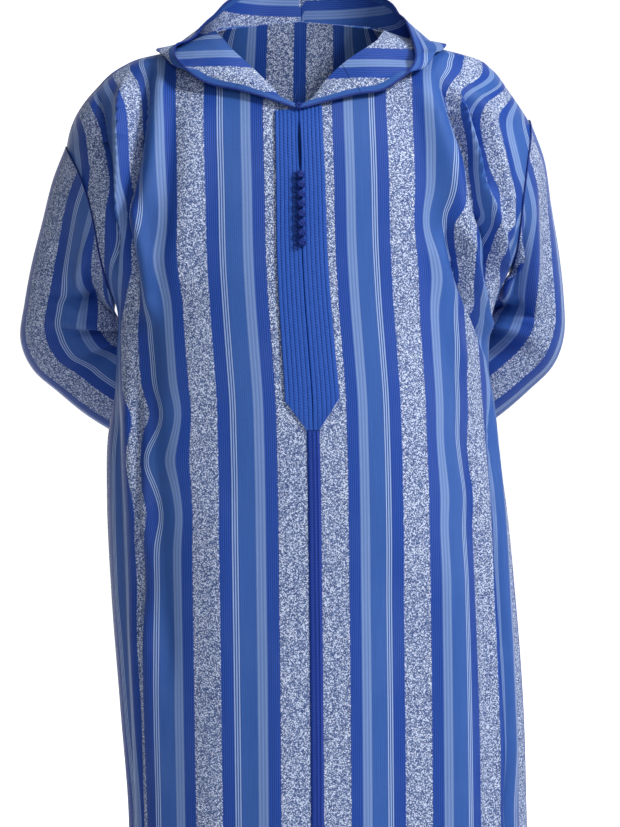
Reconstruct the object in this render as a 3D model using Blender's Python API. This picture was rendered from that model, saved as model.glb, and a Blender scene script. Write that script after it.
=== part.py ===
"""Djellaba: an ankle-length hooded robe of striped cloth, in the hollow form it has when it is worn.

The robe stands upright with both sleeves held behind its back and the hood laid back.
World units are metres, +Z is up and the front faces -Y.  "Right" and "left" are the wearer's own
sides, so the right sleeve is on -X.  The origin is at the base of the neck, between the shoulders.

Every cloth piece is a wall of one thickness.  The body is a stack of level sections whose sizes are
in SECTIONS, with the folds of FOLDS raised on it; the other pieces start from the body's own seams.
"""

import math
from types import SimpleNamespace

import bpy
import numpy as np


class Table:
    """Rows of numbers under named columns; the first column is the key that a row is found by."""

    def __init__(self, names, *rows):
        self.names = names.split()
        self.values = np.array(sorted(rows), float)

    def rows(self):
        """Each row, with its numbers under their names."""
        return [SimpleNamespace(**dict(zip(self.names, row))) for row in self.values]

    def at(self, key):
        """The other columns at these keys, read from a smooth curve through the rows."""
        keys, values = self.values[:, 0], self.values[:, 1:]
        slopes = np.gradient(values, keys, axis=0)
        key = np.clip(np.asarray(key, float), keys[0], keys[-1])
        low = np.clip(np.searchsorted(keys, key, side="right") - 1, 0, len(keys) - 2)
        step = (keys[low + 1] - keys[low])[..., None]
        t = (key - keys[low])[..., None] / step
        read = (1 + 2 * t) * (1 - t) ** 2 * values[low] + t * (1 - t) ** 2 * step * slopes[low]
        read = read + t * t * (3 - 2 * t) * values[low + 1] + t * t * (t - 1) * step * slopes[low + 1]
        return SimpleNamespace(**{name: read[..., k] for k, name in enumerate(self.names[1:])})


# ---- driving sizes -------------------------------------------------------------------------------
CLOTH = 0.0020            # thickness of every cloth wall
SEAM = 0.0004             # clearance between two pieces that are sewn together
SHARP_ANGLE = 40.0        # edges of a wall are sharp past this many degrees
HEM_Z = -1.400            # height of the hem
ROUNDNESS = 2.3           # power of the superellipse of a body section
WIDEST_SHARE = 0.985      # a fold starts at most this share of the half width from the centre

# Level sections of the body: half widths are measured from x = 0, depths from middle_y.
SECTIONS = Table(
    "z right left front back middle_y",
    (0.060, 0.078, 0.066, 0.036, 0.042, 0.034),
    (0.040, 0.096, 0.082, 0.050, 0.054, 0.030),
    (0.020, 0.119, 0.102, 0.064, 0.066, 0.026),
    (0.005, 0.144, 0.134, 0.075, 0.076, 0.022),
    (-0.010, 0.182, 0.198, 0.087, 0.086, 0.018),
    (-0.020, 0.222, 0.231, 0.094, 0.092, 0.016),
    (-0.030, 0.243, 0.244, 0.101, 0.098, 0.014),
    (-0.060, 0.277, 0.267, 0.118, 0.110, 0.010),
    (-0.095, 0.303, 0.290, 0.132, 0.120, 0.007),
    (-0.135, 0.315, 0.312, 0.143, 0.128, 0.004),
    (-0.180, 0.312, 0.318, 0.150, 0.132, 0.002),
    (-0.225, 0.302, 0.306, 0.154, 0.134, 0.000),
    (-0.270, 0.286, 0.284, 0.157, 0.134, 0.000),
    (-0.310, 0.266, 0.262, 0.160, 0.133, 0.000),
    (-0.345, 0.250, 0.248, 0.162, 0.132, 0.000),
    (-0.400, 0.249, 0.241, 0.165, 0.131, 0.000),
    (-0.460, 0.252, 0.242, 0.168, 0.132, 0.000),
    (-0.520, 0.261, 0.250, 0.170, 0.136, 0.000),
    (-0.590, 0.262, 0.262, 0.171, 0.143, 0.000),
    (-0.720, 0.256, 0.276, 0.170, 0.154, 0.001),
    (-0.870, 0.244, 0.288, 0.171, 0.163, 0.002),
    (-1.030, 0.232, 0.294, 0.175, 0.171, 0.004),
    (-1.200, 0.238, 0.300, 0.183, 0.180, 0.006),
    (-1.420, 0.250, 0.308, 0.194, 0.192, 0.008),
)

# The centre front leans a little to the wearer's left on its way down.
CENTRE_LINE = Table(
    "z x",
    (0.060, -0.0075),
    (-0.096, -0.0092),
    (-0.195, -0.0066),
    (-0.286, -0.0046),
    (-0.346, -0.0013),
    (-0.407, 0.0034),
    (-0.469, 0.0079),
    (-0.520, 0.0095),
    (-0.720, 0.0125),
    (-1.030, 0.0152),
    (-1.420, 0.0165),
)

# Heights of the neckline by angle from the centre front; the same on both sides.
NECKLINE = Table(
    "turn z",
    (0, -0.096),
    (7, -0.090),
    (16, -0.067),
    (27, -0.045),
    (42, -0.021),
    (61, 0.004),
    (90, 0.024),
    (130, 0.038),
    (180, 0.044),
)

# Armholes: eyes in the side of the body, between two levels.
ARM_TOP = -0.1175
ARM_BOTTOM = -0.312
ARM_MIDDLE = (ARM_TOP + ARM_BOTTOM) / 2
ARM_HALF = (ARM_TOP - ARM_BOTTOM) / 2
ARM_HALF_TURN = 15.5      # degrees to each side of the side seam
ARM_TILT = 0.0175         # the wearer's left armhole is this much higher, the right one lower
ARM_TILT_END = -0.60      # the tilt has died away at this level, and at the shoulders
ARM_TILT_FADE = (0.10, 0.25)   # distances over which it grows from the shoulders and dies away
SHOULDER_SEAM = {-1: 84.0, 1: 90.0}   # angle of the shoulder seam, wearer's right and left
NECK_SIDE_Z = 0.02        # height of the neckline at the shoulder seam
SIDE_RADIUS = 0.27        # distance of the side seams from the centre line

# Folds of the body: ridges (+) and hollows (-) that run down through three points.
# face is +1 on the front and -1 on the back; width is half the fold's width.
FOLDS = Table(
    "face x0 z0 x1 z1 x2 z2 height width",
    # wearer's left chest, falling in from the shoulder
    (1, 0.150, -0.045, 0.192, -0.165, 0.228, -0.380, 0.011, 0.022),
    (1, 0.172, -0.050, 0.216, -0.170, 0.242, -0.340, -0.010, 0.020),
    (1, 0.206, -0.055, 0.246, -0.170, 0.258, -0.310, 0.009, 0.020),
    (1, 0.120, -0.060, 0.158, -0.200, 0.196, -0.400, -0.007, 0.024),
    (1, 0.172, -0.250, 0.192, -0.340, 0.212, -0.450, 0.006, 0.020),
    # wearer's right chest
    (1, -0.200, -0.035, -0.214, -0.150, -0.228, -0.380, 0.011, 0.022),
    (1, -0.170, -0.040, -0.180, -0.160, -0.196, -0.350, -0.008, 0.021),
    (1, -0.238, -0.045, -0.248, -0.150, -0.245, -0.320, -0.009, 0.020),
    (1, -0.136, -0.070, -0.148, -0.180, -0.170, -0.350, 0.006, 0.024),
    # hanging folds of the sides below the arms
    (1, -0.232, -0.300, -0.226, -0.480, -0.205, -0.700, 0.008, 0.021),
    (1, -0.200, -0.340, -0.190, -0.560, -0.172, -0.860, -0.006, 0.022),
    (1, -0.250, -0.420, -0.240, -0.700, -0.216, -1.250, -0.008, 0.020),
    (1, -0.210, -0.700, -0.192, -1.000, -0.176, -1.400, 0.009, 0.028),
    (1, -0.110, -0.560, -0.100, -0.950, -0.090, -1.400, 0.005, 0.032),
    (1, 0.232, -0.400, 0.250, -0.640, 0.262, -1.000, 0.008, 0.021),
    (1, 0.206, -0.480, 0.226, -0.760, 0.234, -1.400, -0.008, 0.023),
    (1, 0.262, -0.560, 0.276, -0.800, 0.284, -1.400, -0.006, 0.018),
    (1, 0.186, -0.620, 0.196, -0.980, 0.196, -1.400, 0.008, 0.028),
    (1, 0.112, -0.640, 0.120, -1.000, 0.124, -1.400, -0.005, 0.032),
    # back: drawn in between the shoulders and hanging full below the arms
    (-1, -0.215, -0.060, -0.205, -0.200, -0.180, -0.380, -0.010, 0.022),
    (-1, -0.175, -0.070, -0.160, -0.210, -0.130, -0.380, 0.009, 0.022),
    (-1, 0.215, -0.060, 0.205, -0.200, 0.180, -0.380, -0.010, 0.022),
    (-1, 0.175, -0.070, 0.160, -0.210, 0.130, -0.380, 0.009, 0.022),
    (-1, -0.205, -0.480, -0.190, -0.900, -0.185, -1.400, 0.012, 0.028),
    (-1, -0.120, -0.500, -0.110, -0.900, -0.105, -1.400, -0.011, 0.030),
    (-1, -0.040, -0.520, -0.035, -0.900, -0.030, -1.400, 0.011, 0.028),
    (-1, 0.042, -0.540, 0.047, -0.900, 0.052, -1.400, -0.010, 0.030),
    (-1, 0.125, -0.500, 0.125, -0.900, 0.130, -1.400, 0.012, 0.030),
    (-1, 0.205, -0.480, 0.200, -0.900, 0.200, -1.400, -0.010, 0.026),
)

# Slow waves of the hanging cloth: their number round the robe, their height at the hem and phase.
WAVES = Table(
    "count height phase",
    (5, 0.0030, 0.8),
    (9, 0.0025, 2.1),
    (13, 0.0015, 4.0),
)
WAVE_TOP = -0.45          # the waves fade in from this height down to the hem
FOLD_START = 0.22         # share of a fold's length over which it rises or dies away

# Pocket slits in the side seams.
POCKET_OPEN = 0.0034
POCKET_SPANS = {-1: (-0.575, -0.690), 1: (-0.655, -0.785)}   # right and left, top and bottom

# Centre front: slit, braid panel and band.
SLIT_SPAN = (-0.116, -0.184)
SLIT_OPEN = 0.0034
BRAID_WIDTHS = Table(
    "z half_width",
    (-0.096, 0.0300),
    (-0.270, 0.0320),
    (-0.400, 0.0335),
    (-0.469, 0.0345),
)
BRAID_SHOULDER = -0.469   # level where the panel begins to run to a point
BRAID_TIP = -0.507
BAND_HALF_WIDTH = 0.008
BRAID_THICK = 0.0020
LAY = 0.0006              # clearance under a piece that lies on a panel
BAND_GAP = 0.0006         # clearance between the braid's tip and the band
BRAID_FIRST_ROW = 3       # row of the front that the braid starts from, below the hood's front ends
BRAID_COLUMNS = 3

# Knotted buttons.
BUTTON_RADIUS = 0.0048
BUTTON_FIRST = -0.1000    # the one at the neck, on the fronts above the braid panels
BUTTON_TOP = -0.188
BUTTON_STEP = 0.0121
BUTTON_COUNT = 8
BUTTON_SIDES = 8
BUTTON_TILTS = (-54, -18, 18, 54)   # degrees of its rings above its middle
BUTTON_KNOT = 0.10        # how much the knot's turns stand out of the ball

# Sleeves, by the share along them: the tube's inner and outer line as seen from the front, its
# middle depth and half depth.
RIGHT_SLEEVE = Table(
    "along inner_x inner_z outer_x outer_z middle_y half_depth",
    (0.00, -0.262, -0.330, -0.317, -0.135, 0.000, 0.070),
    (0.09, -0.269, -0.340, -0.336, -0.178, 0.018, 0.072),
    (0.18, -0.265, -0.349, -0.352, -0.232, 0.038, 0.071),
    (0.27, -0.257, -0.357, -0.368, -0.286, 0.058, 0.069),
    (0.36, -0.250, -0.364, -0.380, -0.338, 0.078, 0.066),
    (0.45, -0.246, -0.371, -0.388, -0.384, 0.098, 0.062),
    (0.55, -0.239, -0.379, -0.373, -0.426, 0.116, 0.059),
    (0.64, -0.221, -0.390, -0.341, -0.456, 0.132, 0.056),
    (0.73, -0.190, -0.403, -0.294, -0.494, 0.150, 0.053),
    (0.82, -0.148, -0.419, -0.227, -0.531, 0.170, 0.050),
    (0.91, -0.104, -0.432, -0.149, -0.558, 0.188, 0.047),
    (1.00, -0.064, -0.440, -0.080, -0.572, 0.198, 0.046),
)
LEFT_SLEEVE = Table(
    "along inner_x inner_z outer_x outer_z middle_y half_depth",
    (0.00, 0.264, -0.295, 0.298, -0.100, 0.000, 0.070),
    (0.09, 0.267, -0.307, 0.318, -0.150, 0.018, 0.072),
    (0.18, 0.262, -0.318, 0.328, -0.208, 0.038, 0.071),
    (0.27, 0.252, -0.331, 0.339, -0.268, 0.058, 0.069),
    (0.36, 0.244, -0.341, 0.3475, -0.328, 0.080, 0.066),
    (0.45, 0.240, -0.350, 0.3505, -0.378, 0.100, 0.062),
    (0.55, 0.234, -0.361, 0.337, -0.421, 0.118, 0.059),
    (0.64, 0.218, -0.373, 0.308, -0.452, 0.134, 0.056),
    (0.73, 0.188, -0.391, 0.262, -0.492, 0.150, 0.053),
    (0.82, 0.150, -0.408, 0.206, -0.527, 0.170, 0.050),
    (0.91, 0.106, -0.420, 0.143, -0.550, 0.188, 0.047),
    (1.00, 0.066, -0.428, 0.084, -0.562, 0.198, 0.046),
)
SLEEVE_BLEND = 0.36       # share of the sleeve over which the armhole's shape fades out
CREASE_ENDS = (0.12, 0.08)     # shares at the armhole and the cuff over which the creases fade in
# Folds round a sleeve: share along it, angle round it from the top (90 is the front), their half
# sizes and height.
CREASES = Table(
    "along turn half_along half_turn height",
    (0.375, 118, 0.036, 50, 0.008),
    (0.455, 125, 0.036, 50, -0.008),
    (0.530, 112, 0.034, 50, 0.006),
    (0.610, 120, 0.034, 50, -0.006),
    (0.250, 100, 0.050, 34, -0.006),
    (0.330, 55, 0.060, 30, 0.005),
    (0.700, 105, 0.045, 60, 0.006),
    (0.800, 100, 0.045, 60, -0.005),
    (0.400, 265, 0.060, 40, 0.006),
    (0.520, 245, 0.055, 45, -0.006),
)

# Hood, laid back: its seam runs along the neckline, its cloth goes out to a turned bottom and comes
# back up to the free edge.  For each angle: bottom of the turn, free edge, and how far it puffs out.
HOOD_RIGHT = Table(
    "turn bottom_x bottom_y bottom_z edge_x edge_y edge_z puff",
    (2, -0.0140, -0.1320, -0.0960, -0.0190, -0.1350, -0.0990, 0.001),
    (10, -0.0350, -0.1290, -0.0840, -0.0450, -0.1310, -0.0880, 0.001),
    (25, -0.0700, -0.1240, -0.0640, -0.0840, -0.1260, -0.0760, 0.003),
    (40, -0.1060, -0.1180, -0.0500, -0.1220, -0.1200, -0.0670, 0.005),
    (55, -0.1480, -0.1080, -0.0500, -0.1480, -0.1180, -0.0520, 0.012),
    (68, -0.1680, -0.0880, -0.0450, -0.1650, -0.1040, -0.0340, 0.018),
    (80, -0.1850, -0.0620, -0.0250, -0.1696, -0.0860, -0.0210, 0.012),
    (90, -0.1960, -0.0300, -0.0135, -0.1670, -0.0580, -0.0080, 0.009),
    (100, -0.1960, 0.0100, -0.0100, -0.1560, -0.0380, -0.0010, 0.010),
    (112, -0.1860, 0.0520, -0.0095, -0.1430, -0.0080, 0.0140, 0.030),
    (120, -0.1760, 0.0800, -0.0180, -0.1350, 0.0160, 0.0300, 0.034),
    (128, -0.1620, 0.1040, -0.0420, -0.1240, 0.0420, 0.0450, 0.034),
    (145, -0.1220, 0.1380, -0.1680, -0.1030, 0.0860, 0.0740, 0.040),
    (162, -0.0640, 0.1480, -0.2600, -0.0600, 0.1160, 0.0990, 0.042),
    (180, -0.0060, 0.1520, -0.3350, -0.0060, 0.1260, 0.1060, 0.044),
)
HOOD_LEFT = Table(
    "turn bottom_x bottom_y bottom_z edge_x edge_y edge_z puff",
    (2, -0.0040, -0.1320, -0.0970, 0.0020, -0.1350, -0.1000, 0.001),
    (10, 0.0150, -0.1300, -0.0850, 0.0250, -0.1320, -0.0910, 0.001),
    (25, 0.0520, -0.1250, -0.0680, 0.0647, -0.1280, -0.0810, 0.003),
    (40, 0.0880, -0.1200, -0.0560, 0.0977, -0.1230, -0.0750, 0.005),
    (55, 0.1280, -0.1090, -0.0530, 0.1260, -0.1200, -0.0560, 0.012),
    (68, 0.1530, -0.0900, -0.0465, 0.1370, -0.1120, -0.0420, 0.016),
    (80, 0.1700, -0.0660, -0.0200, 0.1410, -0.1000, -0.0290, 0.014),
    (90, 0.1840, -0.0320, -0.0060, 0.1406, -0.0760, -0.0140, 0.010),
    (100, 0.1870, 0.0080, -0.0020, 0.1360, -0.0520, 0.0080, 0.010),
    (112, 0.1800, 0.0500, -0.0030, 0.1300, -0.0180, 0.0300, 0.012),
    (120, 0.1700, 0.0800, -0.0140, 0.1270, 0.0060, 0.0380, 0.026),
    (128, 0.1560, 0.1050, -0.0420, 0.1240, 0.0300, 0.0450, 0.036),
    (145, 0.1140, 0.1370, -0.1680, 0.1090, 0.0800, 0.0720, 0.040),
    (162, 0.0520, 0.1480, -0.2600, 0.0540, 0.1140, 0.0980, 0.042),
    (180, -0.0060, 0.1520, -0.3350, -0.0060, 0.1260, 0.1060, 0.044),
)
HOOD_SEAM = 0.0007        # clearance between the hood and the body along the neckline
HOOD_CLEAR = 0.0045       # how far the hood lies off the body, and the same at the centre front
HOOD_CLEAR_FRONT = 0.0016
HOOD_SEAM_SHARE = 0.07    # share of the hood's section over which it rises to that
HOOD_LAYER = 0.0050       # how much further off its upper layer stays
HOOD_LAYER_TURNS = (40.0, 20.0)   # angle from which it has two layers, and how fast they part
HOOD_BACK_LAYER = 0.0060  # and how much further off still behind the shoulders
HOOD_BACK_TURNS = (112.0, 18.0)
HOOD_LAYER_ROWS = (0.40, 0.25)  # shares of its width at which that layer starts and over which it grows
NECK_TOP_Z = 0.05         # above this height the hood stands clear of the neck by itself
LIFT_ROUNDS = 4
HOOD_REACH = 1.25         # how far the section's control points stand past the turn
HOOD_FRONT_TURN = 27.5    # angle of the seam between the hood and each small front piece
HOOD_FRONT_START = 4.0    # angle where that front piece ends, by the centre front
HOOD_FRONT_GAP = 0.15     # half the clearance in that seam, in degrees

# ---- steps and grids -----------------------------------------------------------------------------
TURN_STEP = 0.004         # half steps, in radians and metres, between the points of a normal
Z_STEP = 0.002
SLEEVE_STEP = 0.02        # the same round a sleeve, in radians
HOOD_STEP = 0.006         # and round the hood
HOOD_ROW_STEP = 0.004
YOKE_ROWS = 7             # rows of a body panel, down to the top of the armhole
ARM_ROWS = 8
WAIST_ROWS = 3
TIP_ROWS = 2
SKIRT_ROWS = 13
FRONT_COLUMNS = 16        # from the braid panel's edge to the side seam
FRONT_SPREAD = 0.3          # how much wider the columns next to the placket are than the others
BACK_COLUMNS = 24
SLEEVE_ROUND = 18
SLEEVE_ROWS = 25
HOOD_COLUMNS = 32
HOOD_FRONT_COLUMNS = 4
HOOD_ROWS = (0, 0.04, 0.09, 0.15, 0.22, 0.30, 0.38, 0.45, 0.52, 0.59, 0.67, 0.76, 0.88, 1)

# ---- colours -------------------------------------------------------------------------------------
# Name, linear colour and roughness of each material.
STRIPED_CLOTH = ("striped_cloth", (0.075, 0.160, 0.420), 0.55)
ROYAL_BRAID = ("royal_braid", (0.010, 0.045, 0.330), 0.50)


# ---- small tools ---------------------------------------------------------------------------------
def ease(t):
    """0 below 0, 1 above 1, and a smooth step between."""
    t = np.clip(t, 0.0, 1.0)
    return t * t * (3 - 2 * t)


def unit(vectors):
    return vectors / np.linalg.norm(vectors, axis=-1, keepdims=True)


# ---- the body's surface --------------------------------------------------------------------------
def section_point(turn, z):
    """Points of the plain level sections.  turn is the angle from the centre front, + to the left."""
    section = SECTIONS.at(z)
    centre_x = CENTRE_LINE.at(z).x
    sine, cosine = np.sin(turn), np.cos(turn)
    half_width = np.where(sine < 0, section.right + centre_x, section.left - centre_x)
    half_depth = np.where(cosine > 0, section.front, section.back)
    radius = (np.abs(sine) / half_width) ** ROUNDNESS + (np.abs(cosine) / half_depth) ** ROUNDNESS
    radius = radius ** (-1 / ROUNDNESS)
    x, y = centre_x + radius * sine, section.middle_y - radius * cosine
    return np.stack([x, y, z + 0 * radius], axis=-1)


def section_turn(x, z, face):
    """The angle at which a section has this x, on the front (+1) or the back (-1)."""
    section = SECTIONS.at(z)
    centre_x = CENTRE_LINE.at(z).x
    offset = x - centre_x
    half_width = np.where(offset < 0, section.right + centre_x, section.left - centre_x)
    share = np.clip(np.abs(offset) / half_width, 0, WIDEST_SHARE)
    half_depth = section.front if face > 0 else section.back
    depth = half_depth * (1 - share**ROUNDNESS) ** (1 / ROUNDNESS)
    return np.arctan2(share * half_width * np.sign(offset), face * depth)


def fold_x(fold, t):
    """The fold's place from side to side: a parabola through its three points, t from 0 to 1."""
    middle = (fold.z0 - fold.z1) / (fold.z0 - fold.z2)
    return (
        fold.x0 * (t - middle) * (t - 1) / middle
        + fold.x1 * t * (t - 1) / (middle * (middle - 1))
        + fold.x2 * t * (t - middle) / (1 - middle)
    )


def fold_height(turn, z):
    """How far the folds and waves stand out from the plain section."""
    height = np.zeros(np.broadcast(turn, z).shape)
    for fold in FOLDS.rows():
        t = (fold.z0 - z) / (fold.z0 - fold.z2)
        ends = ease(t / FOLD_START)
        if fold.z2 > HEM_Z:
            ends = ends * ease((1 - t) / FOLD_START)
        at = section_turn(fold_x(fold, t), z, fold.face)
        across = section_point(at + TURN_STEP, z) - section_point(at - TURN_STEP, z)
        across = np.linalg.norm(across, axis=-1) / (2 * TURN_STEP)
        away = (turn - at + math.pi) % (2 * math.pi) - math.pi
        height = height + fold.height * ends * np.exp(-((away * across / fold.width) ** 2))
    grow = ease((WAVE_TOP - z) / (WAVE_TOP - HEM_Z))
    for wave in WAVES.rows():
        height = height + wave.height * grow * np.cos(wave.count * turn + wave.phase)
    return height


def normal_of(surface, a, b, step_a, step_b):
    """Unit normal of a surface of two parameters, from points a small step to each side."""
    along_a = surface(a + step_a, b) - surface(a - step_a, b)
    along_b = surface(a, b + step_b) - surface(a, b - step_b)
    return unit(np.cross(along_a, along_b))


def body_at_height(turn, z):
    base = section_point(turn, z)
    normal = normal_of(section_point, turn, z, TURN_STEP, Z_STEP)
    return base + fold_height(turn, z)[..., None] * normal


def height_of(turn, level):
    """The height of a level: rows of the body tilt at the arms, so that the left armhole is higher."""
    fade = ease(-level / ARM_TILT_FADE[0]) * ease((level - ARM_TILT_END) / ARM_TILT_FADE[1])
    return level + ARM_TILT * np.sin(turn) * fade


def body(turn, level):
    """The outer surface of the body."""
    turn, level = np.broadcast_arrays(turn, level)
    return body_at_height(turn, height_of(turn, level))


def body_normal(turn, level):
    return normal_of(body, turn, level, TURN_STEP, Z_STEP)


def neck_level(turn):
    degrees = np.abs(np.degrees(turn))
    return NECKLINE.at(np.minimum(degrees, 360 - degrees)).z


def arm_half_turn(level):
    """Half the angle that an armhole takes from the body at this level."""
    share = np.clip((level - ARM_MIDDLE) / ARM_HALF, -1, 1)
    return math.radians(ARM_HALF_TURN) * np.sqrt(1 - share**2)


# ---- meshes --------------------------------------------------------------------------------------
def wall_object(name, outer, inner, closed, finish):
    """A wall between two grids of points; closed says that its columns run round a tube."""
    rows, columns = outer.shape[:2]
    points = np.concatenate([outer.reshape(-1, 3), inner.reshape(-1, 3)])
    index = np.arange(rows * columns).reshape(rows, columns)
    if closed:
        index = np.concatenate([index, index[:, :1]], axis=1)
    inside = index + rows * columns

    def strips(a, b, c, d):
        return np.stack([a, b, c, d], axis=-1).reshape(-1, 4)

    faces = [
        strips(index[:-1, :-1], index[1:, :-1], index[1:, 1:], index[:-1, 1:]),
        strips(inside[:-1, :-1], inside[:-1, 1:], inside[1:, 1:], inside[1:, :-1]),
        strips(index[0, :-1], index[0, 1:], inside[0, 1:], inside[0, :-1]),
        strips(index[-1, :-1], inside[-1, :-1], inside[-1, 1:], index[-1, 1:]),
    ]
    if not closed:
        faces.append(strips(index[:-1, 0], inside[:-1, 0], inside[1:, 0], index[1:, 0]))
        faces.append(strips(index[:-1, -1], index[1:, -1], inside[1:, -1], inside[:-1, -1]))
    return mesh_object(name, points, np.concatenate(faces), finish)


def mesh_object(name, points, faces, finish):
    mesh = bpy.data.meshes.new(name)
    mesh.from_pydata(points.tolist(), [], faces.tolist())
    mesh.update()
    mesh.calc_loop_triangles()
    corners = np.empty(len(mesh.loop_triangles) * 3, np.int32)
    mesh.loop_triangles.foreach_get("vertices", corners)
    volume = np.linalg.det(points[corners.reshape(-1, 3)]).sum()
    if volume < 0:
        mesh.flip_normals()
    mesh.shade_smooth()
    mesh.set_sharp_from_angle(angle=math.radians(SHARP_ANGLE))
    obj = bpy.data.objects.new(name, mesh)
    bpy.context.scene.collection.objects.link(obj)
    obj.data.materials.append(cloth_material(finish))
    return obj


def cloth_material(finish):
    """The material of this name, colour and roughness, made once."""
    name, colour, roughness = finish
    material = bpy.data.materials.get(name)
    if material is None:
        material = bpy.data.materials.new(name)
        material.use_nodes = True
        shader = material.node_tree.nodes["Principled BSDF"]
        shader.inputs["Base Color"].default_value = (*colour, 1.0)
        shader.inputs["Roughness"].default_value = roughness
        shader.inputs["Metallic"].default_value = 0.0
    return material


def panel(name, turns, levels, finish, lift=0.0, thick=CLOTH):
    """A wall on the body's surface; lift moves both its faces out."""
    outer = body(turns, levels)
    normals = body_normal(turns, levels)
    top = outer + (lift + (thick if lift else 0.0)) * normals
    under = top - thick * normals
    return wall_object(name, top, under, False, finish)


# ---- body panels ---------------------------------------------------------------------------------
def body_grid(turns_of_row):
    """Angles and levels of a panel's grid, from the function that gives the angles on a level."""
    top = turns_of_row(ARM_TOP)
    shares = np.linspace(0, 1, YOKE_ROWS + 1)[:-1]
    rows = [(top, neck_level(top) * (1 - share) + ARM_TOP * share) for share in shares]
    levels = [ARM_MIDDLE + ARM_HALF * math.cos(math.pi * k / ARM_ROWS) for k in range(ARM_ROWS + 1)]
    levels += list(np.linspace(ARM_BOTTOM, BRAID_SHOULDER, WAIST_ROWS + 1)[1:])
    levels += list(np.linspace(BRAID_SHOULDER, BRAID_TIP, TIP_ROWS + 1)[1:])
    levels += list(np.linspace(BRAID_TIP, HEM_Z, SKIRT_ROWS + 1)[1:])
    for level in levels:
        turns = turns_of_row(level)
        rows.append((turns, level + 0 * turns))
    return np.stack([row[0] for row in rows]), np.stack([row[1] for row in rows])


def turn_across(distance, level):
    """The angle of a point this far across the centre front."""
    return np.arctan2(distance, SECTIONS.at(level).front)


def slit_half(level, span, opening):
    """Half the opening between two sewn edges: a seam, widened to a slit over its span of height."""
    top, bottom = span
    share = np.clip((top - level) / (top - bottom), 0, 1)
    return SEAM / 2 + opening / 2 * np.sqrt(np.sin(math.pi * share))


def centre_gap(level):
    return slit_half(level, SLIT_SPAN, SLIT_OPEN)


def braid_half_width(level):
    tip = np.clip((BRAID_SHOULDER - level) / (BRAID_SHOULDER - BRAID_TIP), 0, 1)
    return BRAID_WIDTHS.at(level).half_width * (1 - tip) + BAND_HALF_WIDTH * tip


def side_edge(level, side):
    """Angle of the seam between front and back, and half its opening as an angle."""
    shoulder = SHOULDER_SEAM[side]
    down = ease((NECK_SIDE_Z - level) / (NECK_SIDE_Z - ARM_TOP))
    turn = math.radians(shoulder + (90 - shoulder) * down)
    return turn, slit_half(level, POCKET_SPANS[side], POCKET_OPEN) / SIDE_RADIUS


def front_grid(side):
    """One front: columns run from the centre front to the side seam and the armhole."""
    spare = np.linspace(0, 1, FRONT_COLUMNS + 1)[1:]
    spare = spare * (1 + FRONT_SPREAD - FRONT_SPREAD * spare)

    def turns_of_row(level):
        inner = turn_across(centre_gap(level), level)
        band = turn_across(BAND_HALF_WIDTH, level)
        edge = turn_across(braid_half_width(max(level, BRAID_SHOULDER)), level)
        seam, gap = side_edge(level, side)
        columns = [inner, band, (band + edge) / 2, edge]
        columns += list(edge + (seam - gap - edge) * spare - arm_half_turn(level) * spare**3)
        return side * np.array(columns)

    return body_grid(turns_of_row)


def back_grid():
    """The back: columns run from the left side seam, behind, to the right one."""
    share = np.linspace(-1, 1, BACK_COLUMNS + 1)

    def turns_of_row(level):
        left_seam, left_gap = side_edge(level, 1)
        right_seam, right_gap = side_edge(level, -1)
        reach = np.where(share < 0, math.pi - left_seam - left_gap, math.pi - right_seam - right_gap)
        return math.pi + share * reach - arm_half_turn(level) * share**3

    return body_grid(turns_of_row)


# ---- sleeves -------------------------------------------------------------------------------------
def arm_edge(side, around):
    """Angle and level of the armhole's edge; around is 0 at its top and a quarter at its front."""
    turn = side * (math.pi / 2 - math.radians(ARM_HALF_TURN) * np.sin(around))
    return turn, ARM_MIDDLE + ARM_HALF * np.cos(around)


def plain_sleeve(side, around, along):
    """The tube between the sleeve's inner and outer line, before it is joined to the armhole."""
    tube = (RIGHT_SLEEVE if side < 0 else LEFT_SLEEVE).at(along)
    across = np.cos(around)
    x = (tube.outer_x + tube.inner_x) / 2 + (tube.outer_x - tube.inner_x) / 2 * across
    z = (tube.outer_z + tube.inner_z) / 2 + (tube.outer_z - tube.inner_z) / 2 * across
    return np.stack([x, tube.middle_y - tube.half_depth * np.sin(around), z], axis=-1)


def smooth_sleeve(side, around, along):
    """The tube with its top drawn over to the edge of the armhole, just outside the body."""
    turn, level = arm_edge(side, around)
    edge = body(turn, level) + (CLOTH / 2 + SEAM) * body_normal(turn, level)
    fade = 1 - ease(along / SLEEVE_BLEND)[..., None]
    start = plain_sleeve(side, around, 0 * along)
    return plain_sleeve(side, around, along) + fade * (edge - start)


def crease_height(around, along):
    height = np.zeros(np.broadcast(around, along).shape)
    for crease in CREASES.rows():
        away = (np.degrees(around) - crease.turn + 180) % 360 - 180
        away = (away / crease.half_turn) ** 2 + ((along - crease.along) / crease.half_along) ** 2
        height = height + crease.height * np.exp(-away)
    start, end = CREASE_ENDS
    return height * ease(along / start) * ease((1 - along) / end)


def outward(side, surface, around, along):
    """Unit normal of a sleeve's surface, pointing out of the tube."""
    along = np.clip(along, Z_STEP, 1 - Z_STEP)
    return -side * normal_of(surface, around, along, SLEEVE_STEP, Z_STEP)


def sleeve(side, around, along):
    """The middle of the sleeve's wall."""

    def plain(a, b):
        return smooth_sleeve(side, a, b)

    normal = outward(side, plain, around, along)
    return plain(around, along) + crease_height(around, along)[..., None] * normal


def sleeve_object(name, side):
    around = np.linspace(0, 2 * math.pi, SLEEVE_ROUND + 1)[:-1]
    around, along = np.meshgrid(around, np.linspace(0, 1, SLEEVE_ROWS + 1))

    def creased(a, b):
        return sleeve(side, a, b)

    middle = creased(around, along)
    half_wall = CLOTH / 2 * outward(side, creased, around, along)
    wall_object(name, middle + half_wall, middle - half_wall, True, STRIPED_CLOTH)


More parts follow.
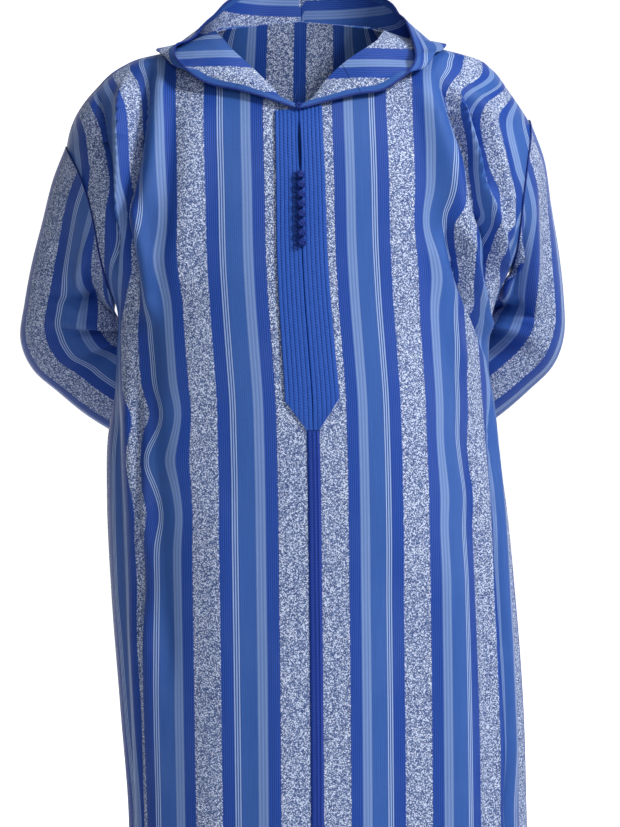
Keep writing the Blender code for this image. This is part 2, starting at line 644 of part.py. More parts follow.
# ---- hood ----------------------------------------------------------------------------------------
def hood_side(side, turn, across):
    """The middle of the hood's wall on one side; across runs from the neck seam to the free edge.

    Its section is a Bezier curve from the seam to the edge.  Both of its control points stand past
    the bottom of the turn, so the curve passes close to that bottom.
    """
    row = (HOOD_RIGHT if side < 0 else HOOD_LEFT).at(np.degrees(turn))
    bottom = np.stack([row.bottom_x, row.bottom_y, row.bottom_z], axis=-1)
    edge = np.stack([row.edge_x, row.edge_y, row.edge_z], axis=-1)
    level = neck_level(turn)
    seam = body(side * turn, level) + (CLOTH / 2 + HOOD_SEAM) * body_normal(side * turn, level)
    first = seam + HOOD_REACH * (bottom - seam)
    second = edge + HOOD_REACH * (bottom - edge) + row.puff[..., None] * outward_at(bottom)
    t = across[..., None]
    lower = (1 - t) ** 3 * seam + 3 * t * (1 - t) ** 2 * first
    return lower + 3 * t * t * (1 - t) * second + t**3 * edge


def hood(turn, across):
    turn, across = np.broadcast_arrays(turn, across)
    turn = (turn + math.pi) % (2 * math.pi) - math.pi
    right = hood_side(-1, np.abs(turn), across)
    left = hood_side(1, np.abs(turn), across)
    return np.where((turn < 0)[..., None], right, left)


def turn_of(points):
    """The angle at which points stand round the body's centre line."""
    centre_x = CENTRE_LINE.at(points[..., 2]).x
    middle_y = SECTIONS.at(points[..., 2]).middle_y
    return np.arctan2(points[..., 0] - centre_x, middle_y - points[..., 1])


def outward_at(points):
    return normal_of(section_point, turn_of(points), points[..., 2], TURN_STEP, Z_STEP)


def lift_clear(points, least):
    """Points moved out until they are this far outside the body; above the neck they stay."""
    for _ in range(LIFT_ROUNDS):
        turn, z = turn_of(points), points[..., 2]
        normal = normal_of(body_at_height, turn, z, TURN_STEP, Z_STEP)
        above = ((points - body_at_height(turn, z)) * normal).sum(axis=-1)
        short = np.where(z < NECK_TOP_Z, np.maximum(least - above, 0), 0)
        points = points + short[..., None] * normal
    return points


def hood_clearance(turn, across):
    """How far the hood stays from the body: least at the seam, more on its upper layer."""
    away = np.degrees(np.abs((turn + math.pi) % (2 * math.pi) - math.pi))
    lie = HOOD_CLEAR_FRONT + (HOOD_CLEAR - HOOD_CLEAR_FRONT) * ease(away / HOOD_FRONT_TURN)
    start, wide = HOOD_LAYER_TURNS
    layer = HOOD_LAYER * ease((away - start) / wide)
    start, wide = HOOD_BACK_TURNS
    layer = layer + HOOD_BACK_LAYER * ease((away - start) / wide)
    start, wide = HOOD_LAYER_ROWS
    layer = layer * ease((across - start) / wide)
    return CLOTH / 2 + HOOD_SEAM + lie * ease(across / HOOD_SEAM_SHARE) + layer


def hood_object(name, first_turn, last_turn, columns):
    turns = np.radians(np.linspace(first_turn, last_turn, columns + 1))
    turn, across = np.meshgrid(turns, HOOD_ROWS, indexing="ij")
    inside = np.clip(across, HOOD_ROW_STEP, 1 - HOOD_ROW_STEP)
    half_wall = CLOTH / 2 * normal_of(hood, turn, inside, HOOD_STEP, HOOD_ROW_STEP)
    middle = lift_clear(hood(turn, across), hood_clearance(turn, across))
    wall_object(name, middle + half_wall, middle - half_wall, False, STRIPED_CLOTH)


# ---- what lies on the fronts ---------------------------------------------------------------------
def braid_panel(name, side, turns, levels):
    """Half of the braid panel, on its front's own rows, down to the tip."""
    keep = (np.arange(len(levels)) >= BRAID_FIRST_ROW) & (levels[:, 0] > BRAID_TIP - Z_STEP)
    levels = levels[keep][:, :BRAID_COLUMNS + 1]
    inner = turns[keep][:, :1]
    edge = side * turn_across(braid_half_width(levels[:, :1]), levels[:, :1])
    spread = inner + (edge - inner) * np.linspace(0, 1, BRAID_COLUMNS + 1)
    panel(name, spread, levels, ROYAL_BRAID, LAY, BRAID_THICK)


def centre_band(levels):
    """The narrow band that covers the seam between the fronts, from the braid's tip to the hem."""
    rows = levels[:, 0]
    rows = np.concatenate([[BRAID_TIP - BAND_GAP], rows[rows < BRAID_TIP - Z_STEP]])
    half = turn_across(BAND_HALF_WIDTH, rows)
    seam = turn_across(centre_gap(rows), rows)
    turns = np.stack([-half, -seam, seam, half], axis=1)
    panel("centre_band", turns, rows[:, None] + 0 * turns, ROYAL_BRAID, LAY, BRAID_THICK)


def button(name, level, under):
    """A knotted ball that stands this far out from the fronts, over the seam between them."""
    normal = body_normal(0.0, level)
    middle = body(0.0, level) + (under + SEAM + BUTTON_RADIUS) * normal
    across = unit(np.cross([0.0, 0.0, 1.0], normal))
    down = np.cross(normal, across)
    spin = np.linspace(0, 2 * math.pi, BUTTON_SIDES + 1)[:-1, None]
    poles = [middle + BUTTON_RADIUS * end * normal for end in (-1, 1)]
    points = [poles[0]]
    for tilt in np.radians(BUTTON_TILTS):
        knot = BUTTON_RADIUS * math.cos(tilt) * (1 + BUTTON_KNOT * np.cos(2 * spin + tilt))
        ring = knot * (np.cos(spin) * across + np.sin(spin) * down)
        points.extend(middle + ring + BUTTON_RADIUS * math.sin(tilt) * normal)
    points.append(poles[1])
    faces = []
    for k in range(BUTTON_SIDES):
        after = (k + 1) % BUTTON_SIDES
        faces.append((0, 1 + after, 1 + k))
        for base in range(1, 1 + BUTTON_SIDES * (len(BUTTON_TILTS) - 1), BUTTON_SIDES):
            upper = base + BUTTON_SIDES
            faces.append((base + k, base + after, upper + after))
            faces.append((base + k, upper + after, upper + k))
        top = len(points) - 1 - BUTTON_SIDES
        faces.append((top + k, top + after, len(points) - 1))
    mesh_object(name, np.array(points), np.array(faces), ROYAL_BRAID)


def build():
    for side, name in ((-1, "right"), (1, "left")):
        turns, levels = front_grid(side)
        panel(name + "_front", turns, levels, STRIPED_CLOTH)
        braid_panel(name + "_braid_panel", side, turns, levels)
        sleeve_object(name + "_sleeve", side)
        near, far = side * HOOD_FRONT_START, side * (HOOD_FRONT_TURN - HOOD_FRONT_GAP)
        hood_object(name + "_hood_front", min(near, far), max(near, far), HOOD_FRONT_COLUMNS)
    centre_band(levels)
    panel("back", *back_grid(), STRIPED_CLOTH)
    reach = HOOD_FRONT_TURN + HOOD_FRONT_GAP
    hood_object("hood", reach, 360 - reach, HOOD_COLUMNS)
    button("button_0", BUTTON_FIRST, 0.0)
    for k in range(BUTTON_COUNT):
        button("button_%d" % (k + 1), BUTTON_TOP - BUTTON_STEP * k, LAY + BRAID_THICK)


def main():
    for obj in list(bpy.data.objects):
        bpy.data.objects.remove(obj)
    build()


main()
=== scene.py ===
"""Djellaba robe: the worn cloth and its folds, the braid placket, the finishes and the studio.

World units are metres, +Z is up and the robe's front faces -Y.  "Right" and "left" are the wearer's
own sides, so the right sleeve is on -X.  Every cloth piece is a thin closed wall worked out on a
grid of two parameters; its "cloth" UV map holds the distance across and along the cloth in metres,
so that the woven stripes follow the folds, and its "edge" UV map the distance from its hem.
"""

import logging
import math
from dataclasses import dataclass
from enum import Enum
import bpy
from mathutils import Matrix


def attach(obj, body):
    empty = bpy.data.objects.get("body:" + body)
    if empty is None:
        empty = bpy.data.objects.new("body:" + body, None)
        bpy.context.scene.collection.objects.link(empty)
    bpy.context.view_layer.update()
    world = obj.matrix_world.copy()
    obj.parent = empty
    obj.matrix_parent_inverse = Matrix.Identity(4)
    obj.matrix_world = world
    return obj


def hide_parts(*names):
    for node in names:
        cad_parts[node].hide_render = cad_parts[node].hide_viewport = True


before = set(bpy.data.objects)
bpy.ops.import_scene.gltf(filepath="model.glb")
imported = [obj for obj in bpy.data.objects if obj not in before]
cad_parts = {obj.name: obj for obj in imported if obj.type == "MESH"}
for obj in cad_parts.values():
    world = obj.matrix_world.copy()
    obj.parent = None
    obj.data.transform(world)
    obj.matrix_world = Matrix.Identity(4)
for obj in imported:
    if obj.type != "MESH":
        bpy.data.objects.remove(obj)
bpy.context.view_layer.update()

from types import SimpleNamespace
from typing import Any, Callable, Optional, Sequence, Union

import bpy
import numpy as np

Array = np.ndarray
Surface = Callable[[Array, Array], Array]
Colour = tuple[float, float, float]
Spot = tuple[float, float, float]

log = logging.getLogger("djellaba")

CLOTH = 0.0014            # thickness of the cloth as it is shown
SOLID = 0.0020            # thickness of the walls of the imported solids
SEAM = 0.0004             # clearance between two sewn pieces
HEM_Z = -1.400
FLOOR_Z = -1.500
SHARP_ANGLE = math.radians(50)
TURNING = 0.0083          # where a plain turned strip ends, on the edge UV map
FULL_TURN = 2 * math.pi


# ---- tables and small tools ------------------------------------------------------
class Table:
    """Rows of numbers under named columns, read as a smooth curve over the first column."""

    def __init__(self, names: str, *rows: Sequence[float]) -> None:
        """Args: names: the columns' names, the key first; rows: the numbers of each row."""
        self.names = names.split()
        self.values = np.array(sorted(rows), float)

    def rows(self) -> list[SimpleNamespace]:
        """Each row, with its numbers under their names."""
        return [SimpleNamespace(**dict(zip(self.names, row))) for row in self.values]

    def at(self, key: Union[float, Array]) -> SimpleNamespace:
        """The other columns at these keys, on a cubic Hermite curve through the rows.

        Args:
            key: where to read the table; it is held inside the first and the last row.

        Returns:
            A namespace with one array for each column, of the key's shape.
        """
        keys, values = self.values[:, 0], self.values[:, 1:]
        slopes = np.gradient(values, keys, axis=0)
        key = np.clip(np.asarray(key, float), keys[0], keys[-1])
        low = np.clip(np.searchsorted(keys, key, side="right") - 1, 0, len(keys) - 2)
        step = (keys[low + 1] - keys[low])[..., None]
        t = (key - keys[low])[..., None] / step
        read = (1 + 2 * t) * (1 - t) ** 2 * values[low] + t * (1 - t) ** 2 * step * slopes[low]
        read = read + t * t * (3 - 2 * t) * values[low + 1]
        read = read + t * t * (t - 1) * step * slopes[low + 1]
        return SimpleNamespace(**{name: read[..., k] for k, name in enumerate(self.names[1:])})


def ease(t: Array) -> Array:
    """0 below 0, 1 above 1, and a smooth step between."""
    t = np.clip(t, 0.0, 1.0)
    return t * t * (3 - 2 * t)


def unit(vectors: Array) -> Array:
    """The vectors at length one."""
    return vectors / np.linalg.norm(vectors, axis=-1, keepdims=True)


def normal_of(surface: Surface, a: Array, b: Array, step_a: float, step_b: float) -> Array:
    """Unit normal of a surface: the cross product of its two differences over small steps.

    Args:
        surface: gives the points for two parameters.
        a: the first parameter.
        b: the second parameter.
        step_a: the difference taken over the first.
        step_b: the difference taken over the second.

    Returns:
        The unit normals.
    """
    along_a = surface(a + step_a, b) - surface(a - step_a, b)
    along_b = surface(a, b + step_b) - surface(a, b - step_b)
    return unit(np.cross(along_a, along_b))


def run_length(points: Array, axis: int) -> Array:
    """Distance travelled along one axis of a grid of points, from 0 at its first row or column.

    Args:
        points: rows, columns and 3.
        axis: 0 to go down the rows, 1 to go across the columns.

    Returns:
        A distance for each point.
    """
    steps = np.linalg.norm(np.diff(points, axis=axis), axis=-1)
    start = np.zeros_like(np.take(steps, [0], axis=axis))
    return np.concatenate([start, np.cumsum(steps, axis=axis)], axis=axis)


def smooth_down(values: Array, passes: int) -> Array:
    """Values of a grid averaged with the rows above and below, a few times over.

    Args:
        values: the grid.
        passes: how many times over.

    Returns:
        The smoothed grid.
    """
    for _ in range(passes):
        padded = np.concatenate([values[:1], values, values[-1:]])
        values = (padded[:-2] + 2 * values + padded[2:]) / 4
    return values


def joined(grid: Array, axis: int) -> Array:
    """A grid that closes on itself: its first row or column stands again at its end."""
    return np.concatenate([grid, np.take(grid, [0], axis=axis)], axis=axis)


def numbered(rows: int, columns: int) -> Array:
    """The numbers of a grid's points, row by row."""
    return np.arange(rows * columns).reshape(rows, columns)


def from_centre(turn: Array) -> Array:
    """An angle brought between half a turn to the right and half a turn to the left."""
    return (turn + math.pi) % FULL_TURN - math.pi


# ---- shader maths ----------------------------------------------------------------
class Signal:
    """A shader socket whose operators add Math nodes, so a mask is written as an expression."""

    def __init__(self, shop: "Shop", socket: bpy.types.NodeSocket) -> None:
        """Args: shop: the node tree's builder; socket: the output that this stands for."""
        self.shop = shop
        self.socket = socket

    def __add__(self, other: Any) -> "Signal":
        """This plus another."""
        return self.shop.math("ADD", self, other)

    def __sub__(self, other: Any) -> "Signal":
        """This less another."""
        return self.shop.math("SUBTRACT", self, other)

    def __rsub__(self, other: Any) -> "Signal":
        """A number less this."""
        return self.shop.math("SUBTRACT", other, self)

    def __mul__(self, other: Any) -> "Signal":
        """This times another."""
        return self.shop.math("MULTIPLY", self, other)

    def __truediv__(self, other: Any) -> "Signal":
        """This divided by another."""
        return self.shop.math("DIVIDE", self, other)

    def __mod__(self, other: Any) -> "Signal":
        """This wrapped into the range from 0 to a size, for values below 0 too."""
        return self.shop.math("WRAP", self, other, 0.0)

    __radd__ = __add__
    __rmul__ = __mul__

    def sine(self) -> "Signal":
        """The sine of this."""
        return self.shop.math("SINE", self)

    def size(self) -> "Signal":
        """This without its sign."""
        return self.shop.math("ABSOLUTE", self)

    def step(self, low: float, high: float) -> "Signal":
        """A smooth step from 0 at low to 1 at high.

        Args:
            low: where it leaves 0.
            high: where it reaches 1.

        Returns:
            The step.
        """
        node = self.shop.add("ShaderNodeMapRange", {"interpolation_type": "SMOOTHSTEP"},
                             {"Value": self, "From Min": low, "From Max": high})
        return Signal(self.shop, node.outputs["Result"])


class Shop:
    """Builds one material's node tree around its Principled BSDF."""

    def __init__(self, name: str) -> None:
        """Args: name: the material's name."""
        self.material = bpy.data.materials.new(name)
        self.material.use_nodes = True
        self.tree = self.material.node_tree
        self.shader = self.tree.nodes["Principled BSDF"]

    def add(self, kind: str, settings: dict[str, Any], values: dict[Any, Any]) -> bpy.types.Node:
        """One node of any kind.

        Args:
            kind: the node's type.
            settings: its own settings, set first.
            values: the values or links of its input sockets, by name or number.

        Returns:
            The new node.
        """
        node = self.tree.nodes.new(kind)
        for key, value in settings.items():
            setattr(node, key, value)
        for key, value in values.items():
            self.feed(node.inputs[key], value)
        return node

    def feed(self, socket: bpy.types.NodeSocket, value: Any) -> None:
        """Links a signal into a socket, or sets a plain value on it.

        Args:
            socket: the input socket.
            value: a signal, a number or a colour.
        """
        if isinstance(value, Signal):
            self.tree.links.new(value.socket, socket)
        elif isinstance(value, tuple) and socket.type == "RGBA":
            socket.default_value = (*value, 1.0)
        else:
            socket.default_value = value

    def math(self, operation: str, *values: Any) -> Signal:
        """One Math node on signals or numbers."""
        node = self.add("ShaderNodeMath", {"operation": operation}, dict(enumerate(values)))
        return Signal(self, node.outputs[0])

    def mix(self, share: Any, first: Any, second: Any) -> Signal:
        """A colour between two colours, by a share from 0 to 1."""
        node = self.add("ShaderNodeMix", {"data_type": "RGBA"}, {0: share, 6: first, 7: second})
        return Signal(self, node.outputs[2])

    def parts(self, vector: Signal) -> list[Signal]:
        """The three coordinates of a vector."""
        node = self.add("ShaderNodeSeparateXYZ", {}, {0: vector})
        return [Signal(self, output) for output in node.outputs]

    def uv(self, name: str) -> list[Signal]:
        """Both coordinates of a UV map."""
        source = self.add("ShaderNodeUVMap", {"uv_map": name}, {})
        return self.parts(Signal(self, source.outputs[0]))[:2]

    def place(self, x: Any, y: Any) -> Signal:
        """A vector of two signals."""
        return Signal(self, self.add("ShaderNodeCombineXYZ", {}, {0: x, 1: y}).outputs[0])

    def body_place(self) -> Signal:
        """The place on the object itself, in metres."""
        return Signal(self, self.add("ShaderNodeTexCoord", {}, {}).outputs["Object"])

    def cells(self, where: Signal, scale: float) -> Signal:
        """A random value from 0 to 1 for each cell of a Voronoi pattern in space.

        Args:
            where: the place.
            scale: how many cells a metre has.

        Returns:
            The value.
        """
        node = self.add("ShaderNodeTexVoronoi", {}, {"Vector": where, "Scale": scale})
        split = self.add("ShaderNodeSeparateColor", {}, {0: Signal(self, node.outputs["Color"])})
        return Signal(self, split.outputs[0])

    def noise(self, where: Signal, scale: float, detail: float = 2.0) -> Signal:
        """Soft noise from 0 to 1 over a vector.

        Args:
            where: the place.
            scale: how fine the noise is.
            detail: how many octaves it has.

        Returns:
            The value.
        """
        values = {"Vector": where, "Scale": scale, "Detail": detail}
        node = self.add("ShaderNodeTexNoise", {}, values)
        return Signal(self, node.outputs[0])

    def bump(self, height: Signal, distance: float) -> None:
        """Feeds a height into the shader's normal; distance is its depth in metres."""
        node = self.add("ShaderNodeBump", {}, {"Height": height, "Distance": distance})
        self.feed(self.shader.inputs["Normal"], Signal(self, node.outputs[0]))

    def finish(self, **inputs: Any) -> bpy.types.Material:
        """Sets the shader's sockets, with _ for a space in their names, and gives the material.

        Args:
            inputs: the sockets' values or signals.

        Returns:
            The material.
        """
        for key, value in inputs.items():
            self.feed(self.shader.inputs[key.replace("_", " ")], value)
        return self.material


# ---- finishes --------------------------------------------------------------------
class Weave(Enum):
    """The kinds of band that the cloth is woven in."""

    SPECKLE = "speckle"
    RIB = "rib"
    PALE = "pale"
    TWILL = "twill"
    LINES = "lines"


@dataclass(frozen=True)
class Band:
    """One woven band: its width in millimetres and its weave."""

    width: float
    weave: Weave


# The repeat of the cloth, outward from the edge of the speckled band beside the centre seam.
REPEAT = (
    Band(36.9, Weave.SPECKLE), Band(15.9, Weave.RIB), Band(13.2, Weave.PALE),
    Band(21.1, Weave.TWILL), Band(9.3, Weave.LINES), Band(15.8, Weave.RIB),
)
# The left half of the hood is cut from the cloth's edge, where the bands are narrower.
HOOD_REPEAT = (
    Band(31.0, Weave.SPECKLE), Band(15.9, Weave.RIB), Band(12.0, Weave.PALE),
    Band(17.0, Weave.RIB), Band(35.0, Weave.SPECKLE), Band(13.5, Weave.RIB),
    Band(7.0, Weave.LINES), Band(15.0, Weave.TWILL), Band(12.0, Weave.PALE), Band(14.0, Weave.RIB),
)
SEAM_BAND = 8.6           # millimetres from the centre seam to the first speckled band
MILLIMETRES = 1000        # in a metre


@dataclass(frozen=True)
class StripedCloth:
    """Cotton and rayon cloth woven in bands: speckled, satin-ribbed, pale, twill and fine-lined."""

    name: str
    bands: tuple[Band, ...] = REPEAT
    start: float = SEAM_BAND
    rib_period: float = 2.6
    fleck: float = 0.00115
    thread: float = 0.0011
    weave_depth: float = 0.00025
    royal: Colour = (0.006, 0.030, 0.230)
    # satin is the colour at each rib's crest: partly the satin weave's own, partly painted sheen.
    satin: Colour = (0.026, 0.108, 0.520)
    twill_dark: Colour = (0.026, 0.088, 0.350)
    twill_light: Colour = (0.048, 0.150, 0.510)
    pale: Colour = (0.105, 0.195, 0.480)
    pale_line: Colour = (0.225, 0.355, 0.700)
    line: Colour = (0.360, 0.500, 0.820)
    fleck_dark: Colour = (0.060, 0.095, 0.270)
    fleck_mid: Colour = (0.170, 0.250, 0.490)
    fleck_light: Colour = (0.720, 0.810, 1.000)

    def inside(self, across: Signal, low: float, high: float, soft: float = 0.3) -> Signal:
        """1 between two places of the repeat, in millimetres, with edges a thread wide."""
        return across.step(low - soft, low + soft) * (1 - across.step(high - soft, high + soft))

    def material(self) -> bpy.types.Material:
        """The material, on the cloth and edge UV maps.

        Returns:
            The new material.
        """
        shop = Shop(self.name)
        u, v = shop.uv("cloth")
        edge, _ = shop.uv("edge")
        where = shop.body_place()
        width = sum(band.width for band in self.bands)
        across = (u * MILLIMETRES - self.start) % width
        ragged = (shop.noise(where, 480.0, 1.5) - 0.5) * 3.0
        loose = (u * MILLIMETRES - self.start + ragged) % width
        slub = shop.noise(shop.place(u * 900, v * 14), 1.0, 2.0)
        wear = shop.noise(where, 11.0, 3.0)
        ribs = (u * (MILLIMETRES * FULL_TURN / self.rib_period)).sine() * 0.5 + 0.5

        # The ribs alternate between royal and satin: partly the rib weave, partly painted sheen on
        # the crests and painted shade between them.
        satin = shop.mix(ribs * 0.8 + slub * 0.2, self.royal, self.satin)
        twill = shop.mix(slub, self.twill_dark, self.twill_light)
        grain = shop.cells(where, 1 / self.fleck) * 0.92
        grain = grain + shop.noise(where, 0.4 / self.fleck, 1.0) * 0.16
        flecks = shop.mix(grain.step(0.66, 0.78), self.fleck_mid, self.fleck_light)
        flecks = shop.mix(1 - grain.step(0.32, 0.44), flecks, self.fleck_dark)

        colour, speckled, low = satin, None, 0.0
        for band in self.bands:
            high = low + band.width
            mask = self.inside(across, low, high)
            third = FULL_TURN * 3 / band.width
            line = ((across - low) * third - math.pi / 2).sine() * 0.5 + 0.5
            if band.weave is Weave.SPECKLE:
                mask = self.inside(loose, low, high, 0.15)
                speckled = mask if speckled is None else speckled + mask
                colour = shop.mix(mask, colour, flecks)
            elif band.weave is Weave.TWILL:
                colour = shop.mix(mask, colour, twill)
            elif band.weave is Weave.PALE:
                pale = shop.mix(line * 0.65 + slub * 0.35, self.pale, self.pale_line)
                colour = shop.mix(mask, colour, pale)
            elif band.weave is Weave.LINES:
                lines = shop.mix(line.step(0.30, 0.80), self.twill_dark, self.line)
                colour = shop.mix(mask, colour, lines)
            low = high
        assert speckled is not None
        hem = 1 - edge.step(TURNING - 0.0003, TURNING + 0.0003)
        plain = shop.mix(ribs * 0.5 + slub * 0.4, self.twill_dark, self.twill_light)
        colour = shop.mix(hem, colour, plain)
        colour = shop.mix(wear.step(0.45, 0.75) * 0.05, colour, self.pale_line)

        turns = FULL_TURN / self.thread
        threads = (v * turns).sine() * (u * turns).sine()
        height = threads * 0.3 + grain * speckled * 1.1 + ribs * (1 - speckled) * 0.4
        stitch = (1 - (edge - (TURNING - 0.001)).size().step(0.0002, 0.0007)) * 1.2
        shop.bump(height - stitch, self.weave_depth)
        return shop.finish(
            Base_Color=colour, Roughness=speckled * 0.30 + 0.42, Specular_IOR_Level=0.22)


@dataclass(frozen=True)
class BraidCloth:
    """Rows of royal blue braid, plaited across and stitched down side by side."""

    name: str
    row_width: float
    plait: float = 0.0019           # length of one plait
    colour: Colour = (0.005, 0.032, 0.280)
    # light is the colour of each plait's crest: partly the plaited pattern, partly painted
    # highlight on the plait ridges.
    light: Colour = (0.046, 0.190, 0.780)
    # seam is painted shade: the dark colour laid into the valleys between the braid rows.
    seam: Colour = (0.002, 0.010, 0.110)

    def material(self) -> bpy.types.Material:
        """The material; U runs across the rows and V along them.

        Returns:
            The new material.
        """
        shop = Shop(self.name)
        u, v = shop.uv("cloth")
        row = (u / self.row_width) % 1.0
        lean = (row - 0.5).size() * 2
        plait = (v * (FULL_TURN / self.plait) + lean * 3.4).sine() * 0.5 + 0.5
        valley_shade = lean.step(0.70, 1.0)
        slub = shop.noise(shop.place(u * 700, v * 160), 1.0, 2.0)
        # Each plait is painted lighter at its crest: partly the braid's pattern, partly painted
        # highlight.
        colour = shop.mix(plait * 0.55 + slub * 0.35, self.colour, self.light)
        # Painted shade: each row darkens toward both its edges, in the valley between two rows.
        colour = shop.mix(valley_shade * 0.75, colour, self.seam)
        shop.bump(plait * (1 - valley_shade) + slub * 0.3, 0.0004)
        return shop.finish(Base_Color=colour, Roughness=0.5, Specular_IOR_Level=0.25)


@dataclass(frozen=True)
class Thread:
    """Twisted royal blue cord, for knots, loops and piping."""

    name: str
    twist: float = 0.0011           # length of one turn
    colour: Colour = (0.003, 0.014, 0.150)
    # light is partly the twist's pattern, partly painted highlight on each turn of the cord.
    light: Colour = (0.014, 0.060, 0.400)

    def material(self) -> bpy.types.Material:
        """The material; V runs along the cord and U round it, both in metres.

        Returns:
            The new material.
        """
        shop = Shop(self.name)
        u, v = shop.uv("cloth")
        twist = ((u + v) * (FULL_TURN / self.twist)).sine() * 0.5 + 0.5
        # Each turn of the twist is painted lighter: partly its pattern, partly painted highlight.
        colour = shop.mix(twist * 0.7, self.colour, self.light)
        shop.bump(twist, 0.00018)
        return shop.finish(Base_Color=colour, Roughness=0.42, Specular_IOR_Level=0.3)


@dataclass(frozen=True)
class PaleGround:
    """Matt white paper, which glows more strongly away from the robe.

    near is the glow under the robe, as a share of that far away, and behind says that it grows
    with depth alone, as a light wall's does, and not all round.
    """

    name: str = "pale_ground"
    near: float = 0.15
    strength: float = 1.0
    behind: bool = False

    def material(self) -> bpy.types.Material:
        """The material.

        Returns:
            The new material.
        """
        shop = Shop(self.name)
        where = shop.body_place()
        grain = shop.noise(where, 60.0, 3.0)
        colour = shop.mix(grain, (0.86, 0.86, 0.87), (0.90, 0.90, 0.91))
        across, depth, _ = shop.parts(where)
        square = across * across + depth * depth
        far = depth.step(1.0, 2.4) if self.behind else square.step(0.8, 5.0)
        glow = shop.mix(far, (self.near,) * 3, (1.0, 1.0, 1.0))
        return shop.finish(
            Base_Color=colour, Roughness=0.9, Emission_Color=glow, Emission_Strength=self.strength)


# ---- meshes ----------------------------------------------------------------------
@dataclass
class Grid:
    """A grid of surface points with its UV maps, which becomes a wall of cloth or a tube."""

    END = 0.02                          # share of its width that a tube keeps at its ends
    points: Array                       # rows, columns, 3
    cloth: Array                        # rows, columns (one more on a tube), 2
    edge: Optional[Array] = None        # the same shape
    lining: Optional[Array] = None      # the inner face's own cloth map, the same shape

    def strips(self, index: Array, reverse: bool) -> Array:
        """The quads between the rows and columns of an index grid.

        Args:
            index: numbers by row and column.
            reverse: the faces look the other way.

        Returns:
            Four numbers for each face.
        """
        corners = [index[:-1, :-1], index[1:, :-1], index[1:, 1:], index[:-1, 1:]]
        if reverse:
            corners = corners[::-1]
        return np.stack(corners, axis=-1).reshape(-1, 4)

    def wall(self, name: str, inward: Array, tube: bool = False) -> bpy.types.Object:
        """A closed wall between this grid and the same grid moved by inward.

        Args:
            name: the object's name.
            inward: for each point, the way and distance to the other face.
            tube: the columns run round and meet.

        Returns:
            The object, not yet dressed.
        """
        index = numbered(*self.points.shape[:2])
        corner = numbered(*self.cloth.shape[:2])
        inside = index + index.size
        if tube:
            index, inside = joined(index, 1), joined(inside, 1)
        quads, uvs = [], []

        def put(a: Array, uv_a: Array, reverse: bool) -> None:
            """Adds the quads of an index grid and of its corners' places in the UV maps."""
            quads.append(self.strips(a, reverse))
            uvs.append(self.strips(uv_a, reverse))

        lined = corner + (corner.size if self.lining is not None else 0)
        put(index, corner, False)
        put(inside, lined, True)
        for row, reverse in ((0, True), (-1, False)):
            put(np.stack([index[row], inside[row]]), np.stack([corner[row]] * 2), reverse)
        if not tube:
            for column, reverse in ((0, False), (-1, True)):
                both = np.stack([index[:, column], inside[:, column]])
                put(both, np.stack([corner[:, column]] * 2), reverse)
        points = np.concatenate([self.points.reshape(-1, 3), (self.points + inward).reshape(-1, 3)])
        cloth, edge = self.cloth, self.edge
        if self.lining is not None:
            cloth, edge = np.stack([cloth, self.lining]), np.stack([edge, edge])
        return make_mesh(name, points, np.concatenate(quads), np.concatenate(uvs), cloth, edge)

    def tube(self, name: str) -> bpy.types.Object:
        """A closed tube: the columns run round it, and its ends are drawn in to their middles.

        Args:
            name: the object's name.

        Returns:
            The object, not yet dressed.
        """
        index = joined(numbered(*self.points.shape[:2]), 1)
        corner = numbered(*self.cloth.shape[:2])
        points = self.points.copy()
        for row in (0, -1):
            middle = points[row].mean(axis=0)
            points[row] = middle + self.END * (points[row] - middle)
        caps = [index[0, :-1][::-1], index[-1, :-1]]
        return make_mesh(name, points.reshape(-1, 3), self.strips(index, False),
                         self.strips(corner, False), self.cloth, self.edge, caps)


def make_mesh(name: str, points: Array, quads: Array, corners: Array, cloth: Array,
              edge: Optional[Array], caps: Sequence[Array] = ()) -> bpy.types.Object:
    """A mesh object from quads and end caps, with its faces turned outwards.

    Args:
        name: the object's name.
        points: its points.
        quads: four point numbers for each face.
        corners: for each face's corner, its place in the UV grids.
        cloth: the grid of the cloth UV map.
        edge: the grid of the edge UV map, or None for far from any hem.
        caps: faces of many points.

    Returns:
        The object, in the scene.
    """
    a, b, c, d = (points[quads[:, k]] for k in range(4))
    volume = (np.cross(b, c) * a).sum() + (np.cross(c, d) * a).sum()
    if volume < 0:
        quads, corners = quads[:, ::-1], corners[:, ::-1]
        caps = [cap[::-1] for cap in caps]
    mesh = bpy.data.meshes.new(name)
    mesh.from_pydata(points.tolist(), [], quads.tolist() + [cap.tolist() for cap in caps])
    extra = sum(len(cap) for cap in caps)
    for map_name, grid in (("cloth", cloth), ("edge", edge)):
        flat = np.full((corners.size + extra, 2), 1.0)
        if grid is not None:
            flat[: corners.size] = grid.reshape(-1, 2)[corners.reshape(-1)]
        mesh.uv_layers.new(name=map_name).data.foreach_set("uv", flat.astype(np.float32).ravel())
    mesh.validate()
    mesh.shade_smooth()
    mesh.set_sharp_from_angle(angle=SHARP_ANGLE)
    obj = bpy.data.objects.new(name, mesh)
    bpy.context.scene.collection.objects.link(obj)
    return obj


def rings(path: Array, side: Array, up: Array, radius: float, sides: int) -> Array:
    """Circles round the points of a path, each in the plane of its two unit directions."""
    turn = np.linspace(0, FULL_TURN, sides + 1)[:-1, None]
    return path[:, None] + radius * (np.cos(turn) * side[:, None] + np.sin(turn) * up[:, None])


